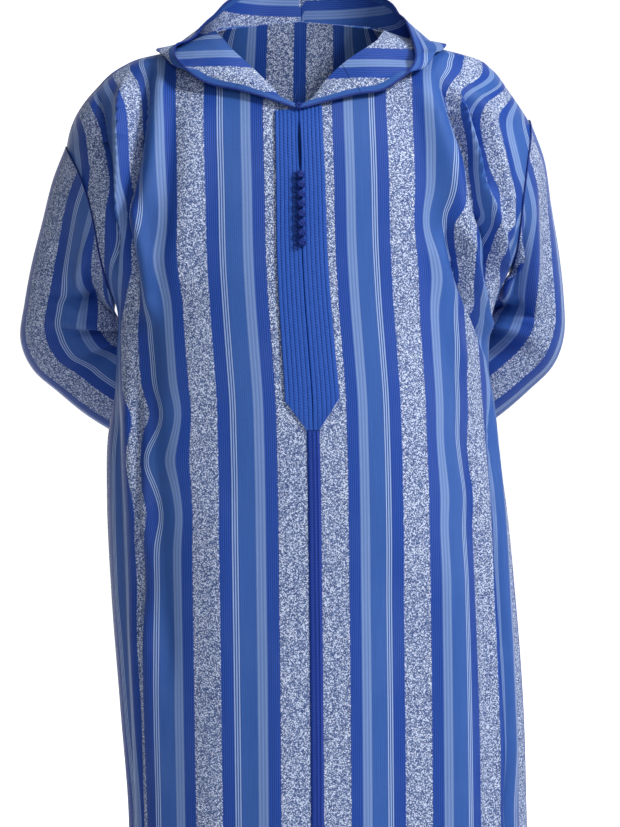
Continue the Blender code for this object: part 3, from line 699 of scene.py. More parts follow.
def sweep(path: Array, radius: float, sides: int, face: Union[Array, Sequence[float]]) -> Grid:
    """A round tube along a path: at each point a ring stands square to the path's direction.

    Args:
        path: the points of its middle line.
        radius: its radius.
        sides: how many faces go round it.
        face: the way that its ring is turned, which may differ from point to point.

    Returns:
        The grid of its surface.
    """
    ahead = unit(np.gradient(path, axis=0))
    side = unit(np.cross(ahead, face))
    up = np.cross(side, ahead)
    along = run_length(path[:, None], 0)
    around = np.linspace(0, FULL_TURN * radius, sides + 1)[None]
    cloth = np.stack(np.broadcast_arrays(around, along), axis=-1)
    return Grid(rings(path, side, up, radius, sides), cloth)


def dress(obj: bpy.types.Object, finish: bpy.types.Material, slot: str,
          *nodes: str) -> bpy.types.Object:
    """Gives a piece its material, lets it ride on the robe and stand for its solids.

    Args:
        obj: the piece.
        finish: its material.
        slot: the name of its material slot; not used.
        nodes: the solids that it stands for.

    Returns:
        The same piece.
    """
    obj.data.materials.append(finish)
    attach(obj, "root")
    if nodes:
        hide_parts(*nodes)
    log.info("%s: %d faces", obj.name, len(obj.data.polygons))
    return obj


# ---- the body's surface ----------------------------------------------------------
class Side(Enum):
    """The wearer's right, on -X, and left, on +X."""

    RIGHT = -1
    LEFT = 1


class Face(Enum):
    """The front and the back of the robe."""

    FRONT = 1
    BACK = -1


@dataclass(frozen=True)
class Fold:
    """A fold that hangs down the robe through points of x and z; height is + for a ridge."""

    face: Face
    path: tuple[tuple[float, float], ...]
    height: float
    width: float
    crisp: float = 0.0      # how much of it is a narrow crease rather than a soft wave
    take: float = 0.0       # metres of cloth that lie hidden in it


@dataclass(frozen=True)
class Track:
    """A fold read off at many heights."""

    fold: Fold
    z: Array
    at: Array               # its angle there
    across: Array           # metres of a radian there
    ends: Array             # its strength, which dies out at its ends


class RobeForm:
    """The worn body of the robe: level superellipse sections with folds standing on them."""

    ROUNDNESS = 2.3
    WIDEST = 0.985
    ARM_TOP, ARM_BOTTOM = -0.1175, -0.312
    ARM_MIDDLE, ARM_HALF = (ARM_TOP + ARM_BOTTOM) / 2, (ARM_TOP - ARM_BOTTOM) / 2
    ARM_HALF_TURN = math.radians(15.5)
    ARM_TILT = 0.0175
    SHOULDER = {Side.RIGHT: 84.0, Side.LEFT: 90.0}
    NECK_SIDE_Z = 0.02
    TURN_STEP, Z_STEP = 0.004, 0.002            # small differences, for normals
    TRACK_STEPS = 160
    FADE_SHARE, FADE_MOST = 0.22, 0.09          # how soon a fold dies out at its ends
    CRISP_FALL, CRISP_ROUND = 2.2, 0.015        # how steep a crease is, and how round at its top
    TUCK = 2.5                                  # how suddenly cloth goes under a fold
    TILT_FADE, TILT_END, TILT_REACH = 0.10, -0.60, 0.25
    SECTIONS = Table(
        "z right left front back middle_y",
        (0.060, 0.078, 0.066, 0.036, 0.042, 0.034),
        (0.040, 0.096, 0.082, 0.050, 0.054, 0.030),
        (0.020, 0.119, 0.102, 0.064, 0.066, 0.026),
        (0.005, 0.144, 0.134, 0.075, 0.076, 0.022),
        (-0.010, 0.182, 0.198, 0.087, 0.086, 0.018),
        (-0.020, 0.222, 0.231, 0.094, 0.092, 0.016),
        (-0.030, 0.243, 0.244, 0.101, 0.098, 0.014),
        (-0.060, 0.277, 0.267, 0.118, 0.110, 0.010),
        (-0.095, 0.303, 0.290, 0.132, 0.120, 0.007),
        (-0.135, 0.315, 0.312, 0.143, 0.128, 0.004),
        (-0.180, 0.312, 0.318, 0.150, 0.132, 0.002),
        (-0.225, 0.302, 0.306, 0.154, 0.134, 0.000),
        (-0.270, 0.286, 0.284, 0.157, 0.134, 0.000),
        (-0.310, 0.266, 0.262, 0.160, 0.133, 0.000),
        (-0.345, 0.250, 0.248, 0.162, 0.132, 0.000),
        (-0.400, 0.249, 0.241, 0.165, 0.131, 0.000),
        (-0.460, 0.252, 0.242, 0.168, 0.132, 0.000),
        (-0.520, 0.261, 0.250, 0.170, 0.136, 0.000),
        (-0.590, 0.262, 0.262, 0.171, 0.143, 0.000),
        (-0.720, 0.256, 0.276, 0.170, 0.154, 0.001),
        (-0.870, 0.244, 0.288, 0.171, 0.163, 0.002),
        (-1.030, 0.232, 0.294, 0.175, 0.171, 0.004),
        (-1.200, 0.238, 0.300, 0.183, 0.180, 0.006),
        (-1.420, 0.250, 0.308, 0.194, 0.192, 0.008),
    )
    CENTRE_LINE = Table(
        "z x",
        (0.060, -0.0075), (-0.096, -0.0092), (-0.195, -0.0066), (-0.286, -0.0046),
        (-0.346, -0.0013), (-0.407, 0.0034), (-0.469, 0.0079), (-0.520, 0.0095),
        (-0.720, 0.0125), (-1.030, 0.0152), (-1.420, 0.0165),
    )
    NECKLINE = Table(
        "turn z",
        (0, -0.096), (7, -0.090), (16, -0.067), (27, -0.045), (42, -0.021),
        (61, 0.004), (90, 0.024), (130, 0.038), (180, 0.044),
    )
    WAVES = Table("count height phase", (5, 0.0030, 0.8), (9, 0.0025, 2.1), (13, 0.0015, 4.0))
    WAVE_TOP = -0.45
    MAP_TURNS, MAP_LEVELS, MAP_TOP, MAP_PASSES = 720, 400, 0.06, 30

    def __init__(self, folds: Sequence[Fold]) -> None:
        """Args: folds: the folds that stand on the sections."""
        self.tracks = [self.track(fold) for fold in folds]
        turns = np.linspace(-math.pi, math.pi, self.MAP_TURNS + 1)[None]
        levels = np.linspace(self.MAP_TOP, HEM_Z, self.MAP_LEVELS + 1)[:, None]
        self.round = smooth_down(run_length(self.point(turns, levels), 1), self.MAP_PASSES)

    def distance_round(self, turn: Array, level: Array) -> Array:
        """Distance round the body from the centre back to an angle, read between a map's points.

        Args:
            turn: angles from the centre front, + to the left.
            level: levels, as heights before the tilt at the arms.

        Returns:
            The distances, in metres.
        """
        a = np.clip((turn + math.pi) / FULL_TURN, 0, 1) * self.MAP_TURNS
        b = np.clip((self.MAP_TOP - level) / (self.MAP_TOP - HEM_Z), 0, 1) * self.MAP_LEVELS
        i = np.minimum(a.astype(int), self.MAP_TURNS - 1)
        j = np.minimum(b.astype(int), self.MAP_LEVELS - 1)
        a, b = a - i, b - j
        upper = self.round[j, i] * (1 - a) + self.round[j, i + 1] * a
        lower = self.round[j + 1, i] * (1 - a) + self.round[j + 1, i + 1] * a
        return upper * (1 - b) + lower * b

    def hidden(self, turn: Array, z: Array) -> Array:
        """Cloth that lies hidden in the folds between the centre front and an angle.

        Args:
            turn: angles from the centre front, + to the left.
            z: heights.

        Returns:
            The width of the hidden cloth.
        """
        taken = np.zeros(turn.shape)
        for track in (track for track in self.tracks if track.fold.take):
            side = np.sign(track.at.mean())
            strength = np.interp(z, track.z, track.ends, left=0.0, right=0.0) * (turn * side > 0)
            away = side * (turn - np.interp(z, track.z, track.at))
            away = away * np.interp(z, track.z, track.across) / track.fold.width
            taken = taken + track.fold.take * strength * (0.5 + 0.5 * np.tanh(self.TUCK * away))
        return taken

    def section_point(self, turn: Array, z: Array) -> Array:
        """Points of the plain sections.

        At an angle, a superellipse's radius is ((|sin| / width)^n + (|cos| / depth)^n)^(-1/n), with
        the half width and the half depth.

        Args:
            turn: angles from the centre front, + to the left.
            z: heights.

        Returns:
            The points.
        """
        section, power = self.SECTIONS.at(z), self.ROUNDNESS
        centre_x = self.CENTRE_LINE.at(z).x
        sine, cosine = np.sin(turn), np.cos(turn)
        width = np.where(sine < 0, section.right + centre_x, section.left - centre_x)
        depth = np.where(cosine > 0, section.front, section.back)
        radius = (np.abs(sine) / width) ** power + (np.abs(cosine) / depth) ** power
        radius = radius ** (-1 / power)
        x, y = centre_x + radius * sine, section.middle_y - radius * cosine
        return np.stack([x, y, z + 0 * radius], axis=-1)

    def section_turn(self, x: Array, z: Array, face: Face) -> Array:
        """The angle at which a section has this x on one face.

        Args:
            x: the places across.
            z: heights.
            face: the front or the back.

        Returns:
            The angles.
        """
        section = self.SECTIONS.at(z)
        centre_x = self.CENTRE_LINE.at(z).x
        offset = x - centre_x
        width = np.where(offset < 0, section.right + centre_x, section.left - centre_x)
        share = np.clip(np.abs(offset) / width, 0, self.WIDEST)
        depth = section.front if face is Face.FRONT else section.back
        depth = depth * (1 - share**self.ROUNDNESS) ** (1 / self.ROUNDNESS)
        return np.arctan2(share * width * np.sign(offset), face.value * depth)

    def track(self, fold: Fold) -> Track:
        """A fold read off at many heights.

        Args:
            fold: the fold.

        Returns:
            Its track.
        """
        path = np.array(sorted((z, x) for x, z in fold.path))
        top, bottom = path[-1, 0], path[0, 0]
        z = np.linspace(bottom, top, self.TRACK_STEPS)
        at = self.section_turn(Table("z x", *path.tolist()).at(z).x, z, fold.face)
        step = self.TURN_STEP
        across = self.section_point(at + step, z) - self.section_point(at - step, z)
        reach = min(self.FADE_SHARE * (top - bottom), self.FADE_MOST)
        ends = ease((top - z) / reach)
        if bottom > HEM_Z:
            ends = ends * ease((z - bottom) / reach)
        return Track(fold, z, at, np.linalg.norm(across, axis=-1) / (2 * step), ends)

    def relief(self, turn: Array, z: Array) -> Array:
        """Height of the folds: a bell across each one, with a narrower one where it is crisp.

        To these come a few level waves round the skirt, which grow toward the hem.

        Args:
            turn: angles from the centre front, + to the left.
            z: heights.

        Returns:
            How far the cloth stands out from the section.
        """
        turn, z = np.broadcast_arrays(turn, z)
        height = np.zeros(turn.shape)
        for track in self.tracks:
            strength = np.interp(z, track.z, track.ends, left=0.0, right=0.0)
            away = from_centre(turn - np.interp(z, track.z, track.at))
            away = away * np.interp(z, track.z, track.across) / track.fold.width
            bell = (1 - track.fold.crisp) * np.exp(-(away**2))
            crease = np.exp(-self.CRISP_FALL * np.sqrt(away**2 + self.CRISP_ROUND))
            bell = bell + track.fold.crisp * crease
            height = height + track.fold.height * strength * bell
        grow = ease((self.WAVE_TOP - z) / (self.WAVE_TOP - HEM_Z))
        for wave in self.WAVES.rows():
            height = height + wave.height * grow * np.cos(wave.count * turn + wave.phase)
        return height

    def at_height(self, turn: Array, z: Array) -> Array:
        """The folded surface at an angle and a height."""
        normal = normal_of(self.section_point, turn, z, self.TURN_STEP, self.Z_STEP)
        return self.section_point(turn, z) + self.relief(turn, z)[..., None] * normal

    def point(self, turn: Array, level: Array) -> Array:
        """The robe's outer surface; its levels tilt at the arms, so the left armhole is higher.

        Args:
            turn: angles from the centre front, + to the left.
            level: levels, as heights before the tilt at the arms.

        Returns:
            The points.
        """
        turn, level = np.broadcast_arrays(turn, level)
        fade = ease(-level / self.TILT_FADE) * ease((level - self.TILT_END) / self.TILT_REACH)
        return self.at_height(turn, level + self.ARM_TILT * np.sin(turn) * fade)

    def normal(self, turn: Array, level: Array) -> Array:
        """Unit normal of the outer surface."""
        return normal_of(self.point, turn, level, self.TURN_STEP, self.Z_STEP)

    def neck_level(self, turn: Array) -> Array:
        """Height of the neckline at an angle."""
        degrees = np.abs(np.degrees(turn))
        return self.NECKLINE.at(np.minimum(degrees, 360 - degrees)).z

    def arm_half_turn(self, level: Array) -> Array:
        """Half the angle that an armhole takes from the body: an ellipse over its height."""
        share = np.clip((level - self.ARM_MIDDLE) / self.ARM_HALF, -1, 1)
        return self.ARM_HALF_TURN * np.sqrt(1 - share**2)

    def turn_across(self, distance: Array, level: Array) -> Array:
        """The angle of a point this far across the centre front."""
        return np.arctan2(distance, self.SECTIONS.at(level).front)

    def side_turn(self, level: Array, side: Side) -> Array:
        """Angle of the seam between front and back, at the shoulder and down the side.

        Args:
            level: levels, as heights before the tilt at the arms.
            side: whose seam.

        Returns:
            The angles, without their sign.
        """
        shoulder = self.SHOULDER[side]
        down = ease((self.NECK_SIDE_Z - level) / (self.NECK_SIDE_Z - self.ARM_TOP))
        return np.radians(shoulder + (90 - shoulder) * down)


FRONT, BACK = Face.FRONT, Face.BACK
FOLDS = (
    # wearer's left chest, falling in from the shoulder
    Fold(FRONT, ((0.161, -0.040), (0.177, -0.070), (0.193, -0.121), (0.207, -0.164),
                 (0.214, -0.205), (0.221, -0.235), (0.230, -0.256), (0.236, -0.284),
                 (0.236, -0.313), (0.228, -0.372)), -0.024, 0.011, 0.9, 0.026),
    Fold(FRONT, ((0.176, -0.045), (0.192, -0.070), (0.207, -0.121), (0.221, -0.164),
                 (0.231, -0.205), (0.241, -0.240), (0.252, -0.290), (0.250, -0.340)),
         0.017, 0.010, 0.2),
    Fold(FRONT, ((0.142, -0.045), (0.172, -0.120), (0.188, -0.180), (0.200, -0.240),
                 (0.222, -0.300)), 0.010, 0.020, 0.1),
    Fold(FRONT, ((0.199, -0.055), (0.214, -0.110), (0.226, -0.160), (0.232, -0.194),
                 (0.240, -0.225)), -0.022, 0.009, 0.9, 0.010),
    Fold(FRONT, ((0.222, -0.060), (0.240, -0.130), (0.256, -0.210), (0.262, -0.290)),
         0.013, 0.011, 0.2),
    Fold(FRONT, ((0.176, -0.235), (0.183, -0.265), (0.201, -0.326), (0.222, -0.372),
                 (0.236, -0.420)), -0.020, 0.010, 0.9, 0.012),
    Fold(FRONT, ((0.200, -0.240), (0.214, -0.300), (0.228, -0.350), (0.236, -0.400)),
         0.014, 0.011, 0.2),
    Fold(FRONT, ((0.120, -0.060), (0.150, -0.200), (0.186, -0.400)), -0.005, 0.024),
    Fold(FRONT, ((0.160, -0.250), (0.180, -0.340), (0.206, -0.450)), 0.006, 0.018),
    # wearer's right chest
    Fold(FRONT, ((-0.202, -0.014), (-0.206, -0.073), (-0.217, -0.165), (-0.232, -0.244),
                 (-0.222, -0.300), (-0.214, -0.360)), -0.024, 0.011, 0.9, 0.022),
    Fold(FRONT, ((-0.186, -0.030), (-0.188, -0.110), (-0.198, -0.190), (-0.214, -0.260)),
         0.009, 0.015),
    Fold(FRONT, ((-0.232, -0.040), (-0.236, -0.110), (-0.236, -0.180), (-0.246, -0.270)),
         0.016, 0.011, 0.2),
    Fold(FRONT, ((-0.272, -0.060), (-0.262, -0.139), (-0.250, -0.187), (-0.247, -0.257),
                 (-0.247, -0.310)), -0.024, 0.010, 0.9, 0.014),
    Fold(FRONT, ((-0.222, -0.200), (-0.212, -0.250), (-0.200, -0.315), (-0.196, -0.380)),
         0.010, 0.012),
    Fold(FRONT, ((-0.136, -0.070), (-0.148, -0.180), (-0.170, -0.350)), 0.005, 0.024),
    Fold(FRONT, ((-0.170, -0.060), (-0.172, -0.160), (-0.182, -0.300)), -0.004, 0.012),
    # the sides: cloth turned under beside the sleeves and down the skirt
    Fold(FRONT, ((-0.216, -0.420), (-0.214, -0.600), (-0.212, -0.900), (-0.200, -1.400)),
         -0.013, 0.010, 0.7, 0.016),
    Fold(FRONT, ((0.232, -0.440), (0.244, -0.640), (0.256, -0.900), (0.260, -1.400)),
         -0.014, 0.010, 0.7, 0.014),
    # hanging folds of the sides below the arms
    Fold(FRONT, ((-0.232, -0.300), (-0.226, -0.480), (-0.205, -0.700)), 0.007, 0.020),
    Fold(FRONT, ((-0.200, -0.340), (-0.190, -0.560), (-0.172, -0.860)), -0.005, 0.018, 0.3),
    Fold(FRONT, ((-0.250, -0.420), (-0.240, -0.700), (-0.216, -1.250)), -0.008, 0.016, 0.4),
    Fold(FRONT, ((-0.210, -0.700), (-0.192, -1.000), (-0.176, -1.400)), 0.009, 0.028),
    Fold(FRONT, ((-0.110, -0.560), (-0.100, -0.950), (-0.090, -1.400)), 0.005, 0.032),
    Fold(FRONT, ((0.232, -0.400), (0.250, -0.640), (0.262, -1.000)), 0.008, 0.020),
    Fold(FRONT, ((0.206, -0.480), (0.226, -0.760), (0.234, -1.400)), -0.008, 0.018, 0.4),
    Fold(FRONT, ((0.262, -0.560), (0.276, -0.800), (0.284, -1.400)), -0.006, 0.014, 0.3),
    Fold(FRONT, ((0.186, -0.620), (0.196, -0.980), (0.196, -1.400)), 0.008, 0.028),
    Fold(FRONT, ((0.112, -0.640), (0.120, -1.000), (0.124, -1.400)), -0.005, 0.032),
    # back: drawn in between the shoulders and hanging full below the arms
    Fold(BACK, ((-0.215, -0.060), (-0.205, -0.200), (-0.180, -0.380)), -0.010, 0.020, 0.3),
    Fold(BACK, ((-0.175, -0.070), (-0.160, -0.210), (-0.130, -0.380)), 0.009, 0.022),
    Fold(BACK, ((0.215, -0.060), (0.205, -0.200), (0.180, -0.380)), -0.010, 0.020, 0.3),
    Fold(BACK, ((0.175, -0.070), (0.160, -0.210), (0.130, -0.380)), 0.009, 0.022),
    Fold(BACK, ((-0.205, -0.480), (-0.190, -0.900), (-0.185, -1.400)), 0.012, 0.028),
    Fold(BACK, ((-0.120, -0.500), (-0.110, -0.900), (-0.105, -1.400)), -0.011, 0.026, 0.3),
    Fold(BACK, ((-0.040, -0.520), (-0.035, -0.900), (-0.030, -1.400)), 0.011, 0.028),
    Fold(BACK, ((0.042, -0.540), (0.047, -0.900), (0.052, -1.400)), -0.010, 0.026, 0.3),
    Fold(BACK, ((0.125, -0.500), (0.125, -0.900), (0.130, -1.400)), 0.012, 0.030),
    Fold(BACK, ((0.205, -0.480), (0.200, -0.900), (0.200, -1.400)), -0.010, 0.022, 0.3),
)


# ---- body panels -----------------------------------------------------------------
@dataclass
class BodyPanels:
    """The two fronts and the back, hanging from the shoulder seams to the hem."""

    form: RobeForm
    yoke_rows: int = 44
    arm_rows: int = 60
    skirt_rows: int = 240
    front_columns: int = 92
    back_columns: int = 132
    slit_open: float = 0.0034
    slit_top: float = -0.116
    slit_bottom: float = -0.184
    pocket_open: float = 0.0034
    hem_width: float = 0.020
    side_radius: float = 0.27       # how far out the side seams stand
    right_pocket: tuple[float, float] = (-0.575, -0.690)
    left_pocket: tuple[float, float] = (-0.655, -0.785)
    left_take_up: float = 1.076     # the left front holds a little more cloth than it shows
    NO_HEM = 1.0                    # a distance from the hem that stands for far away
    # Where the folds draw the stripes sideways: a place, its half sizes and how far.
    RIGHT_PULLS = Table(
        "z across half_z half_across shift",
        (-0.205, 0.245, 0.030, 0.040, 0.012),
        (-0.275, 0.225, 0.035, 0.045, -0.012),
        (-0.480, 0.215, 0.028, 0.045, 0.013),
        (-0.545, 0.220, 0.028, 0.045, -0.012),
        (-0.615, 0.215, 0.030, 0.045, 0.009),
    )
    LEFT_PULLS = Table(
        "z across half_z half_across shift",
        (-0.255, 0.200, 0.028, 0.035, 0.013),
        (-0.330, 0.215, 0.034, 0.040, -0.010),
        (-0.150, 0.240, 0.040, 0.040, -0.010),
        (-0.520, 0.220, 0.030, 0.040, 0.005),
        (-0.590, 0.220, 0.030, 0.040, -0.005),
    )

    def gap(self, level: Array, top: float, bottom: float, opening: float) -> Array:
        """Half the opening between two sewn edges: a seam, widened to a slit between two levels."""
        share = np.clip((top - level) / (top - bottom), 0, 1)
        return SEAM / 2 + opening / 2 * np.sqrt(np.sin(math.pi * share))

    def pocket(self, level: Array, side: Side) -> Array:
        """Half the opening of a side seam, as an angle."""
        top, bottom = self.right_pocket if side is Side.RIGHT else self.left_pocket
        return self.gap(level, top, bottom, self.pocket_open) / self.side_radius

    def rows(self, turns_of: Callable[[Array], Array]) -> tuple[Array, Array]:
        """Angles and levels of a panel's grid.

        Args:
            turns_of: gives the angles of the columns for a column of levels.

        Returns:
            Both, by row from the neckline to the hem and by column.
        """
        form = self.form
        arm = form.ARM_MIDDLE + form.ARM_HALF * np.cos(np.linspace(0, math.pi, self.arm_rows + 1))
        skirt = np.linspace(form.ARM_BOTTOM, HEM_Z, self.skirt_rows + 1)[1:]
        levels = np.concatenate([arm, skirt])[:, None]
        turns = turns_of(levels)
        top = np.repeat(turns[:1], self.yoke_rows, axis=0)
        share = np.linspace(0, 1, self.yoke_rows + 1)[:-1, None]
        yoke = form.neck_level(top) * (1 - share) + form.ARM_TOP * share
        return np.concatenate([top, turns]), np.concatenate([yoke, levels + 0 * turns])

    def wall(self, name: str, turns: Array, levels: Array, across: Array) -> bpy.types.Object:
        """The wall of a panel, with its hem turned up.

        Args:
            name: the piece's name.
            turns: the angles of its grid.
            levels: the levels of its grid.
            across: the cloth's own width coordinate.

        Returns:
            The piece, not yet dressed.
        """
        points = self.form.point(turns, levels)
        down = run_length(points, 0)
        hem = down[-1:] - down
        hem = np.minimum(hem, self.NO_HEM) - (self.hem_width - TURNING) * (hem < self.NO_HEM)
        inward = -CLOTH * self.form.normal(turns, levels)
        grid = Grid(points, np.stack([across, down], axis=-1), np.stack([hem, down], axis=-1))
        return grid.wall(name, inward)

    def drag(self, side: Side, across: Array, level: Array) -> Array:
        """How far the stripes are pulled sideways: a bell in both directions for each pull.

        Args:
            side: which front.
            across: the cloth's own width coordinate.
            level: levels, as heights before the tilt at the arms.

        Returns:
            The shift, in metres of cloth.
        """
        shift = np.zeros(across.shape)
        for pull in (self.RIGHT_PULLS if side is Side.RIGHT else self.LEFT_PULLS).rows():
            beside = (across - pull.across) / pull.half_across
            above = (level - pull.z) / pull.half_z
            shift = shift + pull.shift * np.exp(-(beside**2 + above**2))
        return shift

    def front(self, side: Side) -> bpy.types.Object:
        """One front: its columns run from the centre seam to the side seam and the armhole.

        Args:
            side: which front.

        Returns:
            The piece, not yet dressed.
        """
        share = np.linspace(0, 1, self.front_columns + 1)[None]

        def turns_of(level: Array) -> Array:
            """Angles of the columns at these levels.

            Args:
                level: a column of levels.

            Returns:
                The angles, by row and column.
            """
            inner = self.form.turn_across(
                self.gap(level, self.slit_top, self.slit_bottom, self.slit_open), level)
            outer = self.form.side_turn(level, side) - self.pocket(level, side)
            turns = inner + (outer - inner) * share - self.form.arm_half_turn(level) * share**3
            return side.value * turns

        turns, levels = self.rows(turns_of)
        form = self.form
        across = np.abs(form.distance_round(turns, levels) - form.distance_round(0 * turns, levels))
        if side is Side.LEFT:
            across = across * self.left_take_up
        across = across + form.hidden(turns, levels) + self.drag(side, across, levels)
        name = side.name.lower() + "_front_cloth"
        obj = self.wall(name, turns, levels, across)
        return obj

    def back(self) -> bpy.types.Object:
        """The back: its columns run from the left side seam, behind, to the right one.

        Returns:
            The piece, not yet dressed.
        """
        share = np.linspace(-1, 1, self.back_columns + 1)[None]

        def turns_of(level: Array) -> Array:
            """Angles of the columns at these levels.

            Args:
                level: a column of levels.

            Returns:
                The angles, by row and column.
            """
            left, right = (
                math.pi - self.form.side_turn(level, side) - self.pocket(level, side)
                for side in (Side.LEFT, Side.RIGHT))
            spread = share * np.where(share < 0, left, right)
            return math.pi + spread - self.form.arm_half_turn(level) * share**3

        turns, levels = self.rows(turns_of)
        past = turns > math.pi
        across = self.form.distance_round(np.where(past, turns - FULL_TURN, turns), levels)
        whole = self.form.distance_round(0 * turns + math.pi, levels)
        obj = self.wall("back_cloth", turns, levels, np.where(past, across, whole - across))
        return obj


# ---- what lies on the fronts -----------------------------------------------------
@dataclass
class Placket:
    """Two panels of braid rows that meet at the slit, and the band that runs on to the hem."""

    form: RobeForm
    panels: BodyPanels
    lift: float = 0.0026            # outer face of the braid above the fronts
    thick: float = 0.0018
    rows_each: int = 6
    columns: int = 66
    shoulder: float = -0.469        # level where the panel begins to run to a point
    tip: float = -0.507
    top: float = -0.1005
    band_half: float = 0.008
    bead: float = 0.0009            # how far a row of braid stands above its edges
    row_width: float = 0.005
    rim_drop: float = 0.0008        # how far its rim lies below its face
    tip_gap: float = 0.0006         # between the point and the band
    band_drop: float = 0.0012       # how far the band's edges lie below its middle
    band_ripple: float = 0.0004
    WIDTHS = Table(
        "z half_width", (-0.096, 0.0300), (-0.270, 0.0320), (-0.400, 0.0335), (-0.469, 0.0345))

    def half_width(self, level: Array) -> Array:
        """Half the placket's width, drawn in to the point."""
        tip = np.clip((self.shoulder - level) / (self.shoulder - self.tip), 0, 1)
        return self.WIDTHS.at(level).half_width * (1 - tip) + self.band_half * tip

    def panel(self, side: Side) -> bpy.types.Object:
        """One half: rows of braid, each a rounded bead, with both edges set a little below its
        face.

        Args:
            side: which half.

        Returns:
            The piece, not yet dressed.
        """
        straight = np.linspace(self.top, self.shoulder, 130)
        pointed = np.linspace(self.shoulder, self.tip, 24)[1:]
        level = np.concatenate([straight, pointed])[:, None]
        panels = self.panels
        inner = panels.gap(level, panels.slit_top, panels.slit_bottom, panels.slit_open)
        share = np.linspace(0, 1, self.columns + 1)[None]
        across = inner + (self.half_width(level) - inner) * share
        turns = side.value * self.form.turn_across(across, level)
        place = across / self.WIDTHS.at(level).half_width * self.rows_each
        bead = self.bead * np.sqrt(np.abs(np.sin(math.pi * place)) + 0.02)
        rim = ease(share / 0.03) * ease((1 - share) / 0.03)
        normal = self.form.normal(turns, level + 0 * turns)
        points = self.form.point(turns, level + 0 * turns)
        outer = points + (self.lift - self.rim_drop * (1 - rim) + bead * rim)[..., None] * normal
        down = run_length(points, 0)
        grid = Grid(outer, np.stack([place * self.row_width, down], axis=-1))
        under = points + (self.lift - self.thick) * normal
        return grid.wall(side.name.lower() + "_braid_rows", under - outer)

    def band(self) -> bpy.types.Object:
        """The narrow band from the placket's point to the hem, rounded at both edges.

        Returns:
            The piece, not yet dressed.
        """
        level = np.linspace(self.tip - self.tip_gap, HEM_Z, 300)[:, None]
        share = np.linspace(-1, 1, 25)[None]
        turns = self.form.turn_across(self.band_half * share, level)
        levels = level + 0 * turns
        points, normal = self.form.point(turns, levels), self.form.normal(turns, levels)
        crown = self.lift - self.band_drop * share**6
        crown = crown + self.band_ripple * np.cos(3 * math.pi * share)
        outer = points + crown[..., None] * normal
        down = run_length(points, 0)
        grid = Grid(outer, np.stack([share * self.band_half + 0 * down, down], axis=-1))
        return grid.wall("centre_braid", points + (self.lift - self.thick) * normal - outer)


